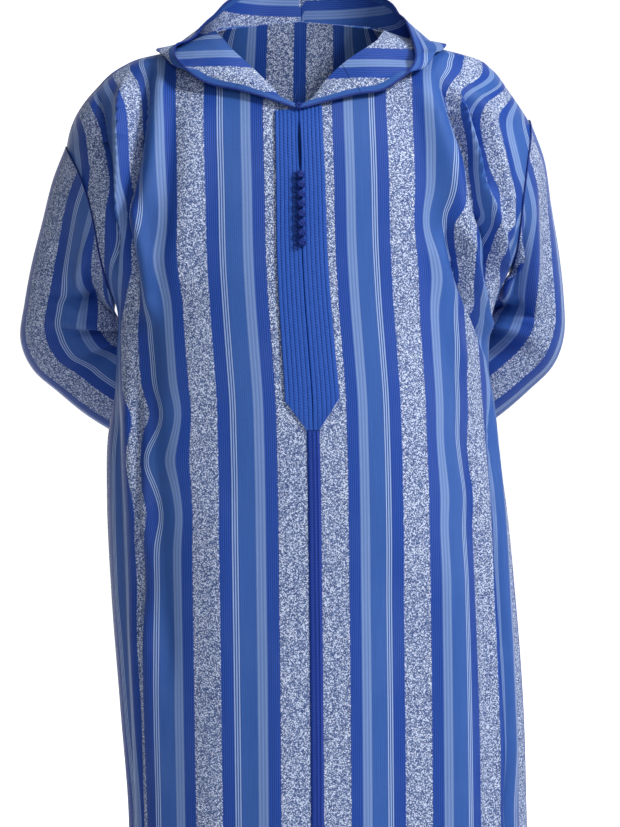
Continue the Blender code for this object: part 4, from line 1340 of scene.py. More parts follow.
@dataclass
class Buttons:
    """Knotted balls of cord down the slit, each with its loop, and one at the neck."""

    form: RobeForm
    placket: Placket
    radius: float = 0.0054
    cord: float = 0.0012
    draw: float = 0.0035            # how far the ends of a loop are drawn back into the braid
    circles: int = 3
    swings: int = 5
    swing: float = 0.95             # how far the cord of a knot swings, as an angle
    first: float = -0.1000
    top: float = -0.188
    step: float = 0.0121
    count: int = 8

    def frame_at(self, level: float, lift: float) -> tuple[Array, Array, Array, Array]:
        """A button's middle and its three directions: across, down and outward.

        Args:
            level: where the button stands.
            lift: how far above the cloth it stands.

        Returns:
            The middle, across, down and outward.
        """
        turn, height = np.zeros(1), np.full(1, level)
        outward = self.form.normal(turn, height)[0]
        middle = self.form.point(turn, height)[0] + (lift + self.radius) * outward
        across = unit(np.cross([0.0, 0.0, 1.0], outward))
        return middle, across, np.cross(outward, across), outward

    def knot(self, name: str, level: float, lift: float) -> bpy.types.Object:
        """A Turk's head of one cord over a ball: it circles three times while it swings five.

        Args:
            name: the piece's name.
            level: where the button stands.
            lift: how far above the cloth it stands.

        Returns:
            The piece, not yet dressed.
        """
        middle, across, down, outward = self.frame_at(level, lift)
        count, sides = 240, 8
        t = np.linspace(0, FULL_TURN, count + 1)[:-1, None]
        swing, spin = self.swing * np.sin(self.swings * t), self.circles * t
        reach = self.radius - self.cord * (1 - 0.35 * np.cos(2 * self.swings * t))
        path = np.cos(spin) * np.cos(swing) * across + np.sin(spin) * np.cos(swing) * down
        path = middle + reach * (path + np.sin(swing) * outward)
        ahead = unit(np.roll(path, -1, 0) - np.roll(path, 1, 0))
        up = unit(path - middle)
        points = rings(path, unit(np.cross(ahead, up)), up, self.cord, sides)
        along = run_length(joined(points, 0)[:, :1], 0)
        around = np.linspace(0, FULL_TURN * self.cord, sides + 1)[None]
        grid = Grid(points, np.stack(np.broadcast_arrays(around, along), axis=-1))
        index = joined(joined(numbered(count, sides), 0), 1)
        return make_mesh(name, points.reshape(-1, 3), grid.strips(index, False),
                         grid.strips(numbered(count + 1, sides + 1), False), grid.cloth, None)

    def core(self, name: str, level: float, lift: float) -> bpy.types.Object:
        """The ball inside a knot.

        Args:
            name: the piece's name.
            level: where the button stands.
            lift: how far above the cloth it stands.

        Returns:
            The piece, not yet dressed.
        """
        middle, across, down, outward = self.frame_at(level, lift)
        levels, sides = 13, 16
        tilt = np.linspace(-math.pi / 2, math.pi / 2, levels)[:, None, None]
        radius = self.radius - 1.25 * self.cord
        spin = np.linspace(0, FULL_TURN, sides + 1)[:-1, None]
        ring = np.cos(spin) * across + np.sin(spin) * down
        points = middle + radius * np.cos(tilt) * ring + radius * np.sin(tilt) * outward
        around = np.linspace(0, 0.02, sides + 1)[None]
        along = np.linspace(0, 0.014, levels)[:, None]
        return Grid(points, np.stack(np.broadcast_arrays(around, along), axis=-1)).tube(name)

    def loop(self, name: str, level: float, lift: float) -> bpy.types.Object:
        """The cord loop that comes from the right-hand braid and goes round a knot's neck.

        Args:
            name: the piece's name.
            level: where the button stands.
            lift: how far above the cloth it stands.

        Returns:
            The piece, not yet dressed.
        """
        middle, across, down, outward = self.frame_at(level, lift)
        foot = middle - (self.radius - self.cord) * outward
        t = np.linspace(-0.80, 0.80, 28)[:, None] * math.pi
        wide = self.radius * 0.98
        path = foot + wide * np.cos(t) * across + wide * 0.8 * np.sin(t) * down
        path = path - 0.5 * self.draw * (1 - np.cos(t)) ** 2 * across
        path = path + self.cord * np.cos(t / 2) * outward
        return sweep(path, self.cord * 0.8, 8, outward).tube(name)


# ---- sleeves ---------------------------------------------------------------------
@dataclass
class Sleeves:
    """Two sleeves that run from the armholes round the elbows to cuffs behind the back."""

    form: RobeForm
    around: int = 132
    rows: int = 190
    blend: float = 0.36             # share of its length over which a sleeve leaves the armhole
    hem_width: float = 0.012
    top_fade: float = 0.12          # shares of its length over which the creases come and go
    cuff_fade: float = 0.08
    even_passes: int = 8
    RIGHT = Table(
        "along inner_x inner_z outer_x outer_z middle_y half_depth",
        (0.00, -0.262, -0.330, -0.317, -0.135, 0.000, 0.070),
        (0.09, -0.257, -0.340, -0.336, -0.178, 0.018, 0.072),
        (0.18, -0.254, -0.349, -0.352, -0.232, 0.038, 0.071),
        (0.27, -0.249, -0.357, -0.368, -0.286, 0.058, 0.069),
        (0.36, -0.247, -0.364, -0.380, -0.338, 0.078, 0.066),
        (0.45, -0.246, -0.371, -0.388, -0.384, 0.098, 0.062),
        (0.55, -0.239, -0.379, -0.373, -0.426, 0.116, 0.059),
        (0.64, -0.221, -0.390, -0.341, -0.456, 0.132, 0.056),
        (0.73, -0.190, -0.403, -0.294, -0.494, 0.150, 0.053),
        (0.82, -0.148, -0.419, -0.227, -0.531, 0.170, 0.050),
        (0.91, -0.104, -0.432, -0.149, -0.558, 0.188, 0.047),
        (1.00, -0.064, -0.440, -0.080, -0.572, 0.198, 0.046),
    )
    LEFT = Table(
        "along inner_x inner_z outer_x outer_z middle_y half_depth",
        (0.00, 0.264, -0.295, 0.298, -0.100, 0.000, 0.070),
        (0.09, 0.262, -0.307, 0.318, -0.150, 0.018, 0.072),
        (0.18, 0.256, -0.318, 0.328, -0.208, 0.038, 0.071),
        (0.27, 0.247, -0.331, 0.339, -0.268, 0.058, 0.069),
        (0.36, 0.244, -0.341, 0.3475, -0.328, 0.080, 0.066),
        (0.45, 0.240, -0.350, 0.3505, -0.378, 0.100, 0.062),
        (0.55, 0.234, -0.361, 0.337, -0.421, 0.118, 0.059),
        (0.64, 0.218, -0.373, 0.308, -0.452, 0.134, 0.056),
        (0.73, 0.188, -0.391, 0.262, -0.492, 0.150, 0.053),
        (0.82, 0.150, -0.408, 0.206, -0.527, 0.170, 0.050),
        (0.91, 0.106, -0.420, 0.143, -0.550, 0.188, 0.047),
        (1.00, 0.066, -0.428, 0.084, -0.562, 0.198, 0.046),
    )
    # Folds round a sleeve: share along it, degrees round it from the top (90 is the front), their
    # half sizes, height, and how abruptly each falls away on the side of the cuff.
    RIGHT_CREASES = Table(
        "along turn half_along half_turn height drop",
        (0.325, 116, 0.075, 36, 0.022, 0.14),
        (0.400, 122, 0.034, 44, -0.014, 1.0),
        (0.230, 208, 0.100, 34, 0.012, 1.0),
        (0.470, 120, 0.050, 40, 0.008, 0.35),
        (0.560, 125, 0.034, 50, -0.007, 1.0),
        (0.640, 115, 0.050, 50, 0.007, 0.40),
        (0.180, 118, 0.150, 9, 0.012, 1.0),
        (0.200, 98, 0.150, 9, -0.012, 1.0),
        (0.240, 62, 0.140, 12, 0.005, 1.0),
        (0.760, 105, 0.045, 60, -0.005, 1.0),
        (0.400, 265, 0.060, 40, 0.006, 1.0),
        (0.520, 245, 0.055, 45, -0.006, 1.0),
    )
    LEFT_CREASES = Table(
        "along turn half_along half_turn height drop",
        (0.430, 124, 0.070, 38, 0.020, 0.14),
        (0.500, 130, 0.034, 44, -0.013, 1.0),
        (0.190, 215, 0.100, 34, 0.010, 1.0),
        (0.580, 118, 0.050, 44, 0.008, 0.40),
        (0.680, 112, 0.040, 50, -0.006, 1.0),
        (0.220, 126, 0.160, 9, -0.014, 1.0),
        (0.230, 108, 0.160, 9, 0.012, 1.0),
        (0.260, 80, 0.170, 10, -0.006, 1.0),
        (0.300, 55, 0.160, 13, 0.005, 1.0),
        (0.800, 100, 0.045, 60, -0.005, 1.0),
        (0.400, 265, 0.060, 40, 0.006, 1.0),
        (0.520, 245, 0.055, 45, -0.006, 1.0),
    )
    right_start: float = 0.080      # where the stripes begin: the right sleeve's run the other way
    left_start: float = 0.0414

    def plain(self, side: Side, around: Array, along: Array) -> Array:
        """The tube between its inner and outer line: ellipses with their own half depths.

        Args:
            side: which sleeve.
            around: angles round the tube, from its outer line.
            along: shares of its length.

        Returns:
            The points.
        """
        tube = (self.RIGHT if side is Side.RIGHT else self.LEFT).at(along)
        across = np.cos(around)
        x = (tube.outer_x + tube.inner_x) / 2 + (tube.outer_x - tube.inner_x) / 2 * across
        z = (tube.outer_z + tube.inner_z) / 2 + (tube.outer_z - tube.inner_z) / 2 * across
        return np.stack([x, tube.middle_y - tube.half_depth * np.sin(around), z], axis=-1)

    def smooth(self, side: Side, around: Array, along: Array) -> Array:
        """The tube with its top drawn over to the edge of the armhole, just outside the body.

        Args:
            side: which sleeve.
            around: angles round the tube.
            along: shares of its length.

        Returns:
            The points.
        """
        form = self.form
        turn = side.value * (math.pi / 2 - form.ARM_HALF_TURN * np.sin(around))
        level = form.ARM_MIDDLE + form.ARM_HALF * np.cos(around)
        edge = form.point(turn, level) + (SOLID / 2 + SEAM) * form.normal(turn, level)
        fade = 1 - ease(along / self.blend)[..., None]
        return self.plain(side, around, along) + fade * (edge - self.plain(side, around, 0 * along))

    def relief(self, side: Side, around: Array, along: Array) -> Array:
        """Height of the creases: a bell in both directions for each, steeper toward the cuff.

        Args:
            side: which sleeve.
            around: angles round the tube.
            along: shares of its length.

        Returns:
            How far the cloth stands out.
        """
        height = np.zeros(np.broadcast(around, along).shape)
        for crease in (self.RIGHT_CREASES if side is Side.RIGHT else self.LEFT_CREASES).rows():
            turned = (np.degrees(around) - crease.turn + 180) % 360 - 180
            past = along - crease.along
            reach = crease.half_along * np.where(past > 0, crease.drop, 1.0)
            bell = np.exp(-((turned / crease.half_turn) ** 2) - (past / reach) ** 2)
            height = height + crease.height * bell
        return height * ease(along / self.top_fade) * ease((1 - along) / self.cuff_fade)

    def outward(self, side: Side, surface: Surface, around: Array, along: Array) -> Array:
        """Unit normal of a sleeve's surface, pointing out of the tube."""
        along = np.clip(along, 0.002, 0.998)
        return -side.value * normal_of(surface, around, along, 0.02, 0.002)

    def build(self, side: Side) -> bpy.types.Object:
        """One sleeve; its stripes run along the arm.

        Args:
            side: which sleeve.

        Returns:
            The piece, not yet dressed.
        """
        around, along = np.meshgrid(
            np.linspace(0, FULL_TURN, self.around + 1)[:-1], np.linspace(0, 1, self.rows + 1))

        def plain(a: Array, b: Array) -> Array:
            """The tube before its creases."""
            return self.smooth(side, a, b)

        def creased(a: Array, b: Array) -> Array:
            """The tube with its creases."""
            height = self.relief(side, a, b)[..., None]
            return plain(a, b) + height * self.outward(side, plain, a, b)

        middle = creased(around, along)
        normal = self.outward(side, creased, around, along)
        outer = middle + CLOTH / 2 * normal
        ring = joined(outer, 1)
        across = smooth_down(run_length(ring, 1), self.even_passes)
        whole = across[:, -1:]
        across = across * (0.5 + 0.5 * whole.mean() / whole)
        down = run_length(ring, 0)
        hem = down[-1:] - down - self.hem_width
        across = self.right_start - across if side is Side.RIGHT else across - self.left_start
        cloth = np.stack([across, down], axis=-1)
        grid = Grid(outer, cloth, np.stack([hem, down], axis=-1))
        obj = grid.wall(side.name.lower() + "_sleeve_cloth", -CLOTH * normal, tube=True)
        return obj


# ---- hood ------------------------------------------------------------------------
@dataclass(frozen=True)
class Level:
    """Where the lining's bands fall: a place in the cloth, its height and the drop of a metre."""

    place: float
    height: float
    drop: float

    def at(self, rise: Array) -> Array:
        """The place in the cloth at a height."""
        return self.place + (rise - self.height) / self.drop


@dataclass
class Hood:
    """The hood laid back: from its seam on the neckline past a turned bottom up to its edge."""

    form: RobeForm
    columns: int = 240
    front_columns: int = 30
    rows: int = 96
    clearance: float = 0.0007       # between the hood and the body along the neckline
    lie: float = 0.0022             # how far it lies off the body
    lie_front: float = 0.0016
    layer: float = 0.0034           # how much further off its upper layer stays
    back_layer: float = 0.0060      # and further still behind the shoulders
    reach: float = 1.25             # how far past the turned bottom the curve's handles stand
    seam_turn: float = 27.5         # degrees from the centre front to the seam of the front pieces
    front_start: float = 2.0        # degrees from the centre front to where the hood begins
    turned_edge: float = 0.0005     # how much thicker each side is where the edge is turned in
    turn_step: float = 0.004
    z_step: float = 0.002
    tight_below: float = 0.05       # the height under which the hood is held off the body
    clearing_passes: int = 4
    face_right: float = 0.020       # where the bands fall outside, added to the way from the edge
    face_left: float = 0.111
    lining_right: Level = Level(0.0455, -0.0449, 0.92)
    lining_left: Level = Level(0.0310, -0.0607, 1.00)
    RIGHT = Table(
        "turn bottom_x bottom_y bottom_z edge_x edge_y edge_z puff",
        (2, -0.0120, -0.1320, -0.0960, -0.0120, -0.1350, -0.1000, 0.001),
        (10, -0.0350, -0.1290, -0.0840, -0.0450, -0.1310, -0.0880, 0.001),
        (25, -0.0700, -0.1240, -0.0640, -0.0840, -0.1260, -0.0760, 0.003),
        (40, -0.1060, -0.1180, -0.0500, -0.1220, -0.1200, -0.0670, 0.005),
        (55, -0.1480, -0.1080, -0.0500, -0.1480, -0.1180, -0.0520, 0.012),
        (68, -0.1680, -0.0880, -0.0450, -0.1650, -0.1040, -0.0340, 0.018),
        (80, -0.1830, -0.0620, -0.0290, -0.1696, -0.0860, -0.0210, 0.015),
        (90, -0.1900, -0.0300, -0.0300, -0.1670, -0.0580, -0.0080, 0.018),
        (100, -0.1890, 0.0080, -0.0270, -0.1560, -0.0380, -0.0010, 0.020),
        (112, -0.1840, 0.0500, -0.0190, -0.1430, -0.0080, 0.0140, 0.030),
        (120, -0.1760, 0.0800, -0.0180, -0.1350, 0.0160, 0.0300, 0.034),
        (128, -0.1620, 0.1040, -0.0420, -0.1240, 0.0420, 0.0450, 0.034),
        (145, -0.1220, 0.1380, -0.1680, -0.1030, 0.0860, 0.0740, 0.040),
        (162, -0.0640, 0.1480, -0.2600, -0.0600, 0.1160, 0.0990, 0.042),
        (180, -0.0060, 0.1520, -0.3350, -0.0060, 0.1260, 0.1060, 0.044),
    )
    LEFT = Table(
        "turn bottom_x bottom_y bottom_z edge_x edge_y edge_z puff",
        (2, -0.0060, -0.1320, -0.0970, -0.0055, -0.1350, -0.1000, 0.001),
        (10, 0.0150, -0.1300, -0.0850, 0.0250, -0.1320, -0.0910, 0.001),
        (25, 0.0520, -0.1250, -0.0680, 0.0647, -0.1280, -0.0810, 0.003),
        (40, 0.0880, -0.1200, -0.0560, 0.0977, -0.1230, -0.0750, 0.005),
        (55, 0.1280, -0.1090, -0.0530, 0.1260, -0.1200, -0.0560, 0.012),
        (68, 0.1530, -0.0900, -0.0465, 0.1370, -0.1120, -0.0420, 0.016),
        (80, 0.1690, -0.0660, -0.0240, 0.1410, -0.1000, -0.0290, 0.016),
        (90, 0.1800, -0.0320, -0.0220, 0.1406, -0.0760, -0.0140, 0.018),
        (100, 0.1810, 0.0060, -0.0200, 0.1360, -0.0520, 0.0080, 0.020),
        (112, 0.1760, 0.0480, -0.0130, 0.1300, -0.0180, 0.0300, 0.020),
        (120, 0.1700, 0.0800, -0.0140, 0.1270, 0.0060, 0.0380, 0.026),
        (128, 0.1560, 0.1050, -0.0420, 0.1240, 0.0300, 0.0450, 0.036),
        (145, 0.1140, 0.1370, -0.1680, 0.1090, 0.0800, 0.0720, 0.040),
        (162, 0.0520, 0.1480, -0.2600, 0.0540, 0.1140, 0.0980, 0.042),
        (180, -0.0060, 0.1520, -0.3350, -0.0060, 0.1260, 0.1060, 0.044),
    )

    def turn_of(self, points: Array) -> Array:
        """The angle at which points stand round the body's centre line.

        Args:
            points: the points.

        Returns:
            Their angles, + to the left.
        """
        centre_x = self.form.CENTRE_LINE.at(points[..., 2]).x
        middle_y = self.form.SECTIONS.at(points[..., 2]).middle_y
        return np.arctan2(points[..., 0] - centre_x, middle_y - points[..., 1])

    def half(self, table: Table, sign: int, turn: Array, across: Array) -> Array:
        """One side of the hood: a Bezier curve from the seam, past the turned bottom, to the edge.

        Args:
            table: the rows of this side.
            sign: -1 for the right side, 1 for the left.
            turn: angles from the centre front, without their sign.
            across: 0 at the seam, 1 at the free edge.

        Returns:
            The points.
        """
        form = self.form
        row = table.at(np.degrees(turn))
        bottom = np.stack([row.bottom_x, row.bottom_y, row.bottom_z], axis=-1)
        edge = np.stack([row.edge_x, row.edge_y, row.edge_z], axis=-1)
        level = form.neck_level(turn)
        seam = form.point(sign * turn, level)
        seam = seam + (SOLID / 2 + self.clearance) * form.normal(sign * turn, level)
        first = seam + self.reach * (bottom - seam)
        outward = normal_of(
            form.section_point, self.turn_of(bottom), bottom[..., 2], self.turn_step, self.z_step)
        second = edge + self.reach * (bottom - edge) + row.puff[..., None] * outward
        t = across[..., None]
        lower = (1 - t) ** 3 * seam + 3 * t * (1 - t) ** 2 * first
        return lower + 3 * t * t * (1 - t) * second + t**3 * edge

    def plain(self, turn: Array, across: Array) -> Array:
        """The whole hood; turn runs from the right of the centre front, behind, to the left.

        Args:
            turn: the angles.
            across: 0 at the seam, 1 at the free edge.

        Returns:
            The points.
        """
        turn, across = np.broadcast_arrays(turn, across)
        turn = from_centre(turn)
        right = self.half(self.RIGHT, -1, np.abs(turn), across)
        left = self.half(self.LEFT, 1, np.abs(turn), across)
        return np.where((turn < 0)[..., None], right, left)

    def clear_of_body(self, points: Array, least: Array) -> Array:
        """Points moved out until they are this far outside the body; above the neck they stay.

        Args:
            points: the points.
            least: how far outside each has to be.

        Returns:
            The moved points.
        """
        for _ in range(self.clearing_passes):
            turn, z = self.turn_of(points), points[..., 2]
            normal = normal_of(self.form.at_height, turn, z, self.turn_step, self.z_step)
            above = ((points - self.form.at_height(turn, z)) * normal).sum(axis=-1)
            short = np.where(z < self.tight_below, np.maximum(least - above, 0), 0)
            points = points + short[..., None] * normal
        return points

    def clearance_at(self, turn: Array, across: Array) -> Array:
        """How far the hood stays from the body: least at the seam, more on its upper layer.

        Args:
            turn: the angles.
            across: 0 at the seam, 1 at the free edge.

        Returns:
            The distances to the hood's middle face.
        """
        away = np.degrees(np.abs(from_centre(turn)))    # 0 in front, 180 behind
        lie = self.lie_front + (self.lie - self.lie_front) * ease(away / self.seam_turn)
        layer = self.layer * ease((away - 40) / 20) + self.back_layer * ease((away - 112) / 18)
        layer = layer * ease((across - 0.40) / 0.25)
        return SOLID / 2 + self.clearance + lie * ease(across / 0.07) + layer

    def piece(self, name: str, first: float, last: float, columns: int) -> bpy.types.Object:
        """One piece of the hood between two angles, in degrees; its stripes follow its free edge.

        Args:
            name: the piece's name.
            first: the angle at which it begins.
            last: the angle at which it ends.
            columns: how many faces lie between them.

        Returns:
            The piece, not yet dressed.
        """
        turn, across = np.meshgrid(np.radians(np.linspace(first, last, columns + 1)),
                                   np.linspace(0, 1, self.rows + 1), indexing="ij")
        middle = self.clear_of_body(self.plain(turn, across), self.clearance_at(turn, across))
        along_a, along_b = np.gradient(middle, axis=0), np.gradient(middle, axis=1)
        normal = unit(np.cross(along_a, along_b))
        length = run_length(middle, 1)
        from_edge = length[:, -1:] - length
        hem = self.turned_edge * ease((0.0088 - from_edge) / 0.0012)
        outer = middle + (CLOTH / 2 + hem)[..., None] * normal
        inward = -(CLOTH + 2 * hem)[..., None] * normal
        along = run_length(middle, 0)
        left = turn < math.pi if last > 180 else turn > 0
        face = from_edge + np.where(left, self.face_left, self.face_right)
        rise = middle[..., 2]
        lining = np.where(left, self.lining_left.at(rise), self.lining_right.at(rise))
        front = 1 - ease((np.degrees(np.abs(from_centre(turn))) - 50) / 50)
        beside = along + (from_edge - along) * front
        grid = Grid(outer, np.stack([face, along], axis=-1), np.stack([from_edge, along], axis=-1),
                    np.stack([lining, beside], axis=-1))
        return grid.wall(name, inward)

    def line(self, turn: Array, across: Array) -> tuple[Array, Array]:
        """Points of the hood's middle face along a line, and its normals there.

        Args:
            turn: the angles.
            across: 0 at the seam, 1 at the free edge.

        Returns:
            The points and the normals.
        """
        middle, step = [], self.turn_step
        for a, b in ((0, 0), (step, 0), (0, -step)):
            clearance = self.clearance_at(turn + a, across + b)
            middle.append(self.clear_of_body(self.plain(turn + a, across + b), clearance))
        return middle[0], unit(np.cross(middle[1] - middle[0], middle[0] - middle[2]))


# ---- cords and seams -------------------------------------------------------------
@dataclass
class Cords:
    """The piping along the hood's edge and the corded seams of hood, shoulders and armholes."""

    form: RobeForm
    sleeves: Sleeves
    hood: Hood
    piping: float = 0.0017
    seam: float = 0.0011
    sides: int = 8

    def hood_edge(self) -> bpy.types.Object:
        """Piping that covers the hood's free edge, from one front end round to the other.

        Returns:
            The cord, not yet dressed.
        """
        start = math.radians(self.hood.front_start)
        turn = np.linspace(start, FULL_TURN - start, 420)
        path, normal = self.hood.line(turn, 1 + 0 * turn)
        return sweep(path, self.piping, self.sides, normal).tube("hood_edge_piping")

    def hood_seam(self) -> bpy.types.Object:
        """The corded seam down the middle of the hood's back.

        Returns:
            The cord, not yet dressed.
        """
        across = np.linspace(0.02, 1.0, 120)
        path, normal = self.hood.line(math.pi + 0 * across, across)
        return sweep(path, self.seam, self.sides, normal).tube("hood_back_seam")

    def shoulder(self, side: Side) -> bpy.types.Object:
        """The corded seam from the neck over the shoulder to the armhole.

        Args:
            side: which shoulder.

        Returns:
            The cord, not yet dressed.
        """
        level = np.linspace(self.form.NECK_SIDE_Z, self.form.ARM_TOP, 90)
        turn = side.value * self.form.side_turn(level, side)
        normal = self.form.normal(turn, level)
        path = self.form.point(turn, level) + 0.3 * self.seam * normal
        name = side.name.lower() + "_shoulder_seam"
        return sweep(path, self.seam, self.sides, normal).tube(name)

    def armhole(self, side: Side) -> bpy.types.Object:
        """The corded seam round an armhole.

        Args:
            side: which armhole.

        Returns:
            The cord, not yet dressed.
        """
        around = np.linspace(0, FULL_TURN, 160)
        path = self.sleeves.smooth(side, around, 0 * around)
        name = side.name.lower() + "_armhole_seam"
        return sweep(path, self.seam, self.sides, [side.value, 0.1, 0.2]).tube(name)


# ---- stage -----------------------------------------------------------------------
@dataclass
class Studio:
    """A pale floor that the camera alone sees, an unseen glow that lights the robe, and lights."""

    camera_distance: float = 3.2
    pixel: float = 0.00132          # metres of the robe that a pixel of the picture spans
    width: int = 620                # of the picture, in pixels
    target: Spot = (0.00528, 0.0, -0.4864)
    chest: Spot = (0.0, 0.0, -0.35)
    bend_steps: int = 17

    def surface(self, name: str, grid: Array, finish: PaleGround) -> bpy.types.Object:
        """Makes a grid of points a smooth sheet that belongs to the studio.

        Args:
            name: the object's name.
            grid: its points.
            finish: its finish.

        Returns:
            The object.
        """
        index = numbered(*grid.shape[:2])
        faces = np.stack([index[:-1, :-1], index[:-1, 1:], index[1:, 1:], index[1:, :-1]], axis=-1)
        mesh = bpy.data.meshes.new(name)
        mesh.from_pydata(grid.reshape(-1, 3).tolist(), [], faces.reshape(-1, 4).tolist())
        mesh.shade_smooth()
        obj = bpy.data.objects.new(name, mesh)
        bpy.context.scene.collection.objects.link(obj)
        mesh.materials.append(finish.material())
        return obj

    def bent(self, flat: Sequence[float], reach: float, bend: float, height: float,
             below: float = 0.0) -> tuple[Array, Array]:
        """A profile that runs level, bends up in a quarter circle and goes on upright.

        Args:
            flat: the places of its level part.
            reach: where the bend begins.
            bend: the bend's radius.
            height: where its upright part ends, over the floor.
            below: how far it lies under the floor's level.

        Returns:
            Its places and its heights.
        """
        turn = np.linspace(0, math.pi / 2, self.bend_steps)
        place = np.concatenate([flat, reach + bend * np.sin(turn), [reach + bend]])
        rise = np.concatenate([np.zeros(len(flat)), bend - bend * np.cos(turn), [height]])
        return place, rise + FLOOR_Z - below

    def ground(self) -> None:
        """The pale floor, a disc that bends up far away on every side, so that any view shows it.

        Its profile is carried round the robe. The eye alone sees it: the glow is what lights it.
        """
        radius, z = self.bent([0.001, 1.0, 3.0], 12.0, 2.0, 10.0)
        way = np.linspace(FULL_TURN, 0, 73)
        grid = np.stack(np.broadcast_arrays(
            radius[:, None] * np.cos(way), radius[:, None] * np.sin(way), z[:, None]), axis=-1)
        obj = self.surface("studio_ground", grid, PaleGround())
        obj.visible_diffuse = obj.visible_glossy = obj.visible_shadow = False

    def glow(self) -> None:
        """A light wall behind the robe, with the paper that runs forward from it; it isn't seen."""
        y, z = self.bent([-6.0], 2.6, 1.2, 3.4, 0.002)
        x = np.array([-6.0, 6.0])
        grid = np.stack(np.broadcast_arrays(x, y[:, None], z[:, None]), axis=-1)
        obj = self.surface("studio_glow", grid, PaleGround("soft_glow", 0.0, 0.8, True))
        obj.visible_camera = False

    def light(self, name: str, place: Spot, size: float, power: float, colour: Colour) -> None:
        """A square soft light that faces the robe's chest.

        Args:
            name: the object's name.
            place: where it stands.
            size: the length of its side.
            power: its power in watts.
            colour: its colour.
        """
        lamp = bpy.data.lights.new(name, "AREA")
        lamp.shape, lamp.size, lamp.energy, lamp.color = "SQUARE", size, power, colour
        obj = bpy.data.objects.new(name, lamp)
        obj.location = place
        toward = np.array(self.chest) - np.array(place)
        pitch = math.acos(-toward[2] / np.linalg.norm(toward))
        obj.rotation_euler = (pitch, 0.0, math.atan2(toward[1], toward[0]) - math.pi / 2)
        bpy.context.scene.collection.objects.link(obj)

    def build(self) -> None:
        """Floor, glow, lights, world and camera."""
        self.ground()
        self.glow()
        self.light("key", (2.6, -2.3, 1.7), 0.9, 140.0, (1.0, 0.99, 0.97))
        self.light("fill", (-0.6, -3.4, 0.8), 1.6, 22.0, (0.96, 0.98, 1.0))
        self.light("top", (0.5, 0.0, 2.4), 1.2, 20.0, (1.0, 1.0, 1.0))
        world = bpy.data.worlds.new("studio_air")
        world.use_nodes = True
        background = world.node_tree.nodes["Background"]
        background.inputs["Color"].default_value = (1.0, 1.0, 1.0, 1.0)
        background.inputs["Strength"].default_value = 0.10
        bpy.context.scene.world = world
        bpy.context.scene.view_settings.view_transform = "Standard"
        self.camera()

    def camera(self) -> None:
        """A level camera in front of the robe, with the picture's size at the chest."""
        camera = bpy.data.cameras.new("camera")
        camera.sensor_fit, camera.sensor_width = "HORIZONTAL", 36.0
        camera.lens = camera.sensor_width * self.camera_distance / (self.width * self.pixel)
        obj = bpy.data.objects.new("camera", camera)
        x, y, z = self.target
        obj.location = (x, y - self.camera_distance, z)
        obj.rotation_euler = (math.pi / 2, 0.0, 0.0)
        bpy.context.scene.collection.objects.link(obj)
        bpy.context.scene.camera = obj


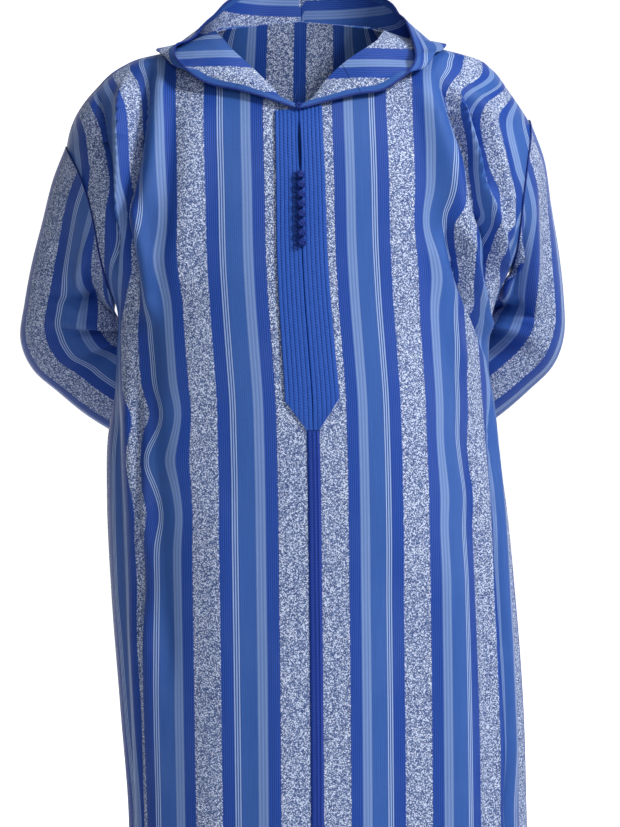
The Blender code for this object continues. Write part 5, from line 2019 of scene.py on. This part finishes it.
# ---- the robe --------------------------------------------------------------------
class Djellaba:
    """The whole robe: it builds each piece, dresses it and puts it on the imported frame."""

    def __init__(self) -> None:
        """Sets out the form and the finishes."""
        self.form = RobeForm(FOLDS)
        self.panels = BodyPanels(self.form)
        self.placket = Placket(self.form, self.panels)
        self.buttons = Buttons(self.form, self.placket)
        self.sleeves = Sleeves(self.form)
        self.hood = Hood(self.form)
        self.cords = Cords(self.form, self.sleeves, self.hood)
        self.striped = StripedCloth("striped_cloth").material()
        self.hood_striped = StripedCloth("striped_cloth_edge", HOOD_REPEAT, 0.0).material()
        # Both braids carry painted highlight on their plaits, partly their pattern, and painted
        # shade in the valleys between their rows.
        self.braid = BraidCloth("royal_braid", self.placket.row_width).material()
        self.band = BraidCloth("centre_braid", 0.004, light=(0.012, 0.060, 0.420)).material()
        self.thread = Thread("knotted_braid").material()

    def build_body(self) -> None:
        """Fronts, back and sleeves."""
        for side in Side:
            word = side.name.lower()
            dress(self.panels.front(side), self.striped, "striped_cloth", word + "_front")
            dress(self.sleeves.build(side), self.striped, "striped_cloth", word + "_sleeve")
        dress(self.panels.back(), self.striped, "striped_cloth", "back")

    def build_hood(self) -> None:
        """The hood and the two small pieces that carry its edge to the centre front."""
        hood, gap = self.hood, 0.15     # degrees to either side of the seams
        reach = hood.seam_turn + gap
        main = hood.piece("hood_cloth", reach, 360 - reach, hood.columns)
        dress(main, self.striped, "striped_cloth", "hood")
        main.data.materials.append(self.hood_striped)
        middle = np.zeros(len(main.data.polygons) * 3, np.float32)
        main.data.polygons.foreach_get("center", middle)
        left = middle.reshape(-1, 3)[:, 0] > self.form.CENTRE_LINE.at(0.0).x
        main.data.polygons.foreach_set("material_index", left.astype(np.int32))
        for side, word, cloth in ((-1, "right", self.striped), (1, "left", self.hood_striped)):
            first, last = sorted((side * hood.front_start, side * (hood.seam_turn - gap)))
            obj = hood.piece(word + "_hood_front_cloth", first, last, hood.front_columns)
            dress(obj, cloth, "striped_cloth", word + "_hood_front")

    def build_cords(self) -> None:
        """Piping and corded seams."""
        for side in Side:
            dress(self.cords.shoulder(side), self.thread, "knotted_braid")
            dress(self.cords.armhole(side), self.thread, "knotted_braid")
        dress(self.cords.hood_edge(), self.thread, "knotted_braid")
        dress(self.cords.hood_seam(), self.thread, "knotted_braid")

    def build_trim(self) -> None:
        """Braid, band, knots and loops."""
        for side in Side:
            word = side.name.lower() + "_braid_panel"
            dress(self.placket.panel(side), self.braid, "royal_braid", word)
        dress(self.placket.band(), self.band, "royal_braid", "centre_band")
        levels = [self.buttons.first] + [
            self.buttons.top - self.buttons.step * k for k in range(self.buttons.count)]
        for k, level in enumerate(levels):
            lift = SEAM if k == 0 else self.placket.lift + self.placket.bead
            name = "button_%d" % k
            knot = self.buttons.knot(name + "_knot", level, lift)
            dress(knot, self.thread, "knotted_braid", name)
            small = [self.buttons.core(name + "_core", level, lift)]
            if k:
                small.append(self.buttons.loop(name + "_loop", level, lift))
            for obj in small:
                dress(obj, self.thread, "knotted_braid")


def main() -> None:
    """Builds the studio and the robe."""
    logging.basicConfig(level=logging.INFO, format="%(name)s: %(message)s")
    Studio().build()
    robe = Djellaba()
    robe.build_body()
    robe.build_hood()
    robe.build_cords()
    robe.build_trim()
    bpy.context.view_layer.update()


if __name__ == "__main__":
    main()
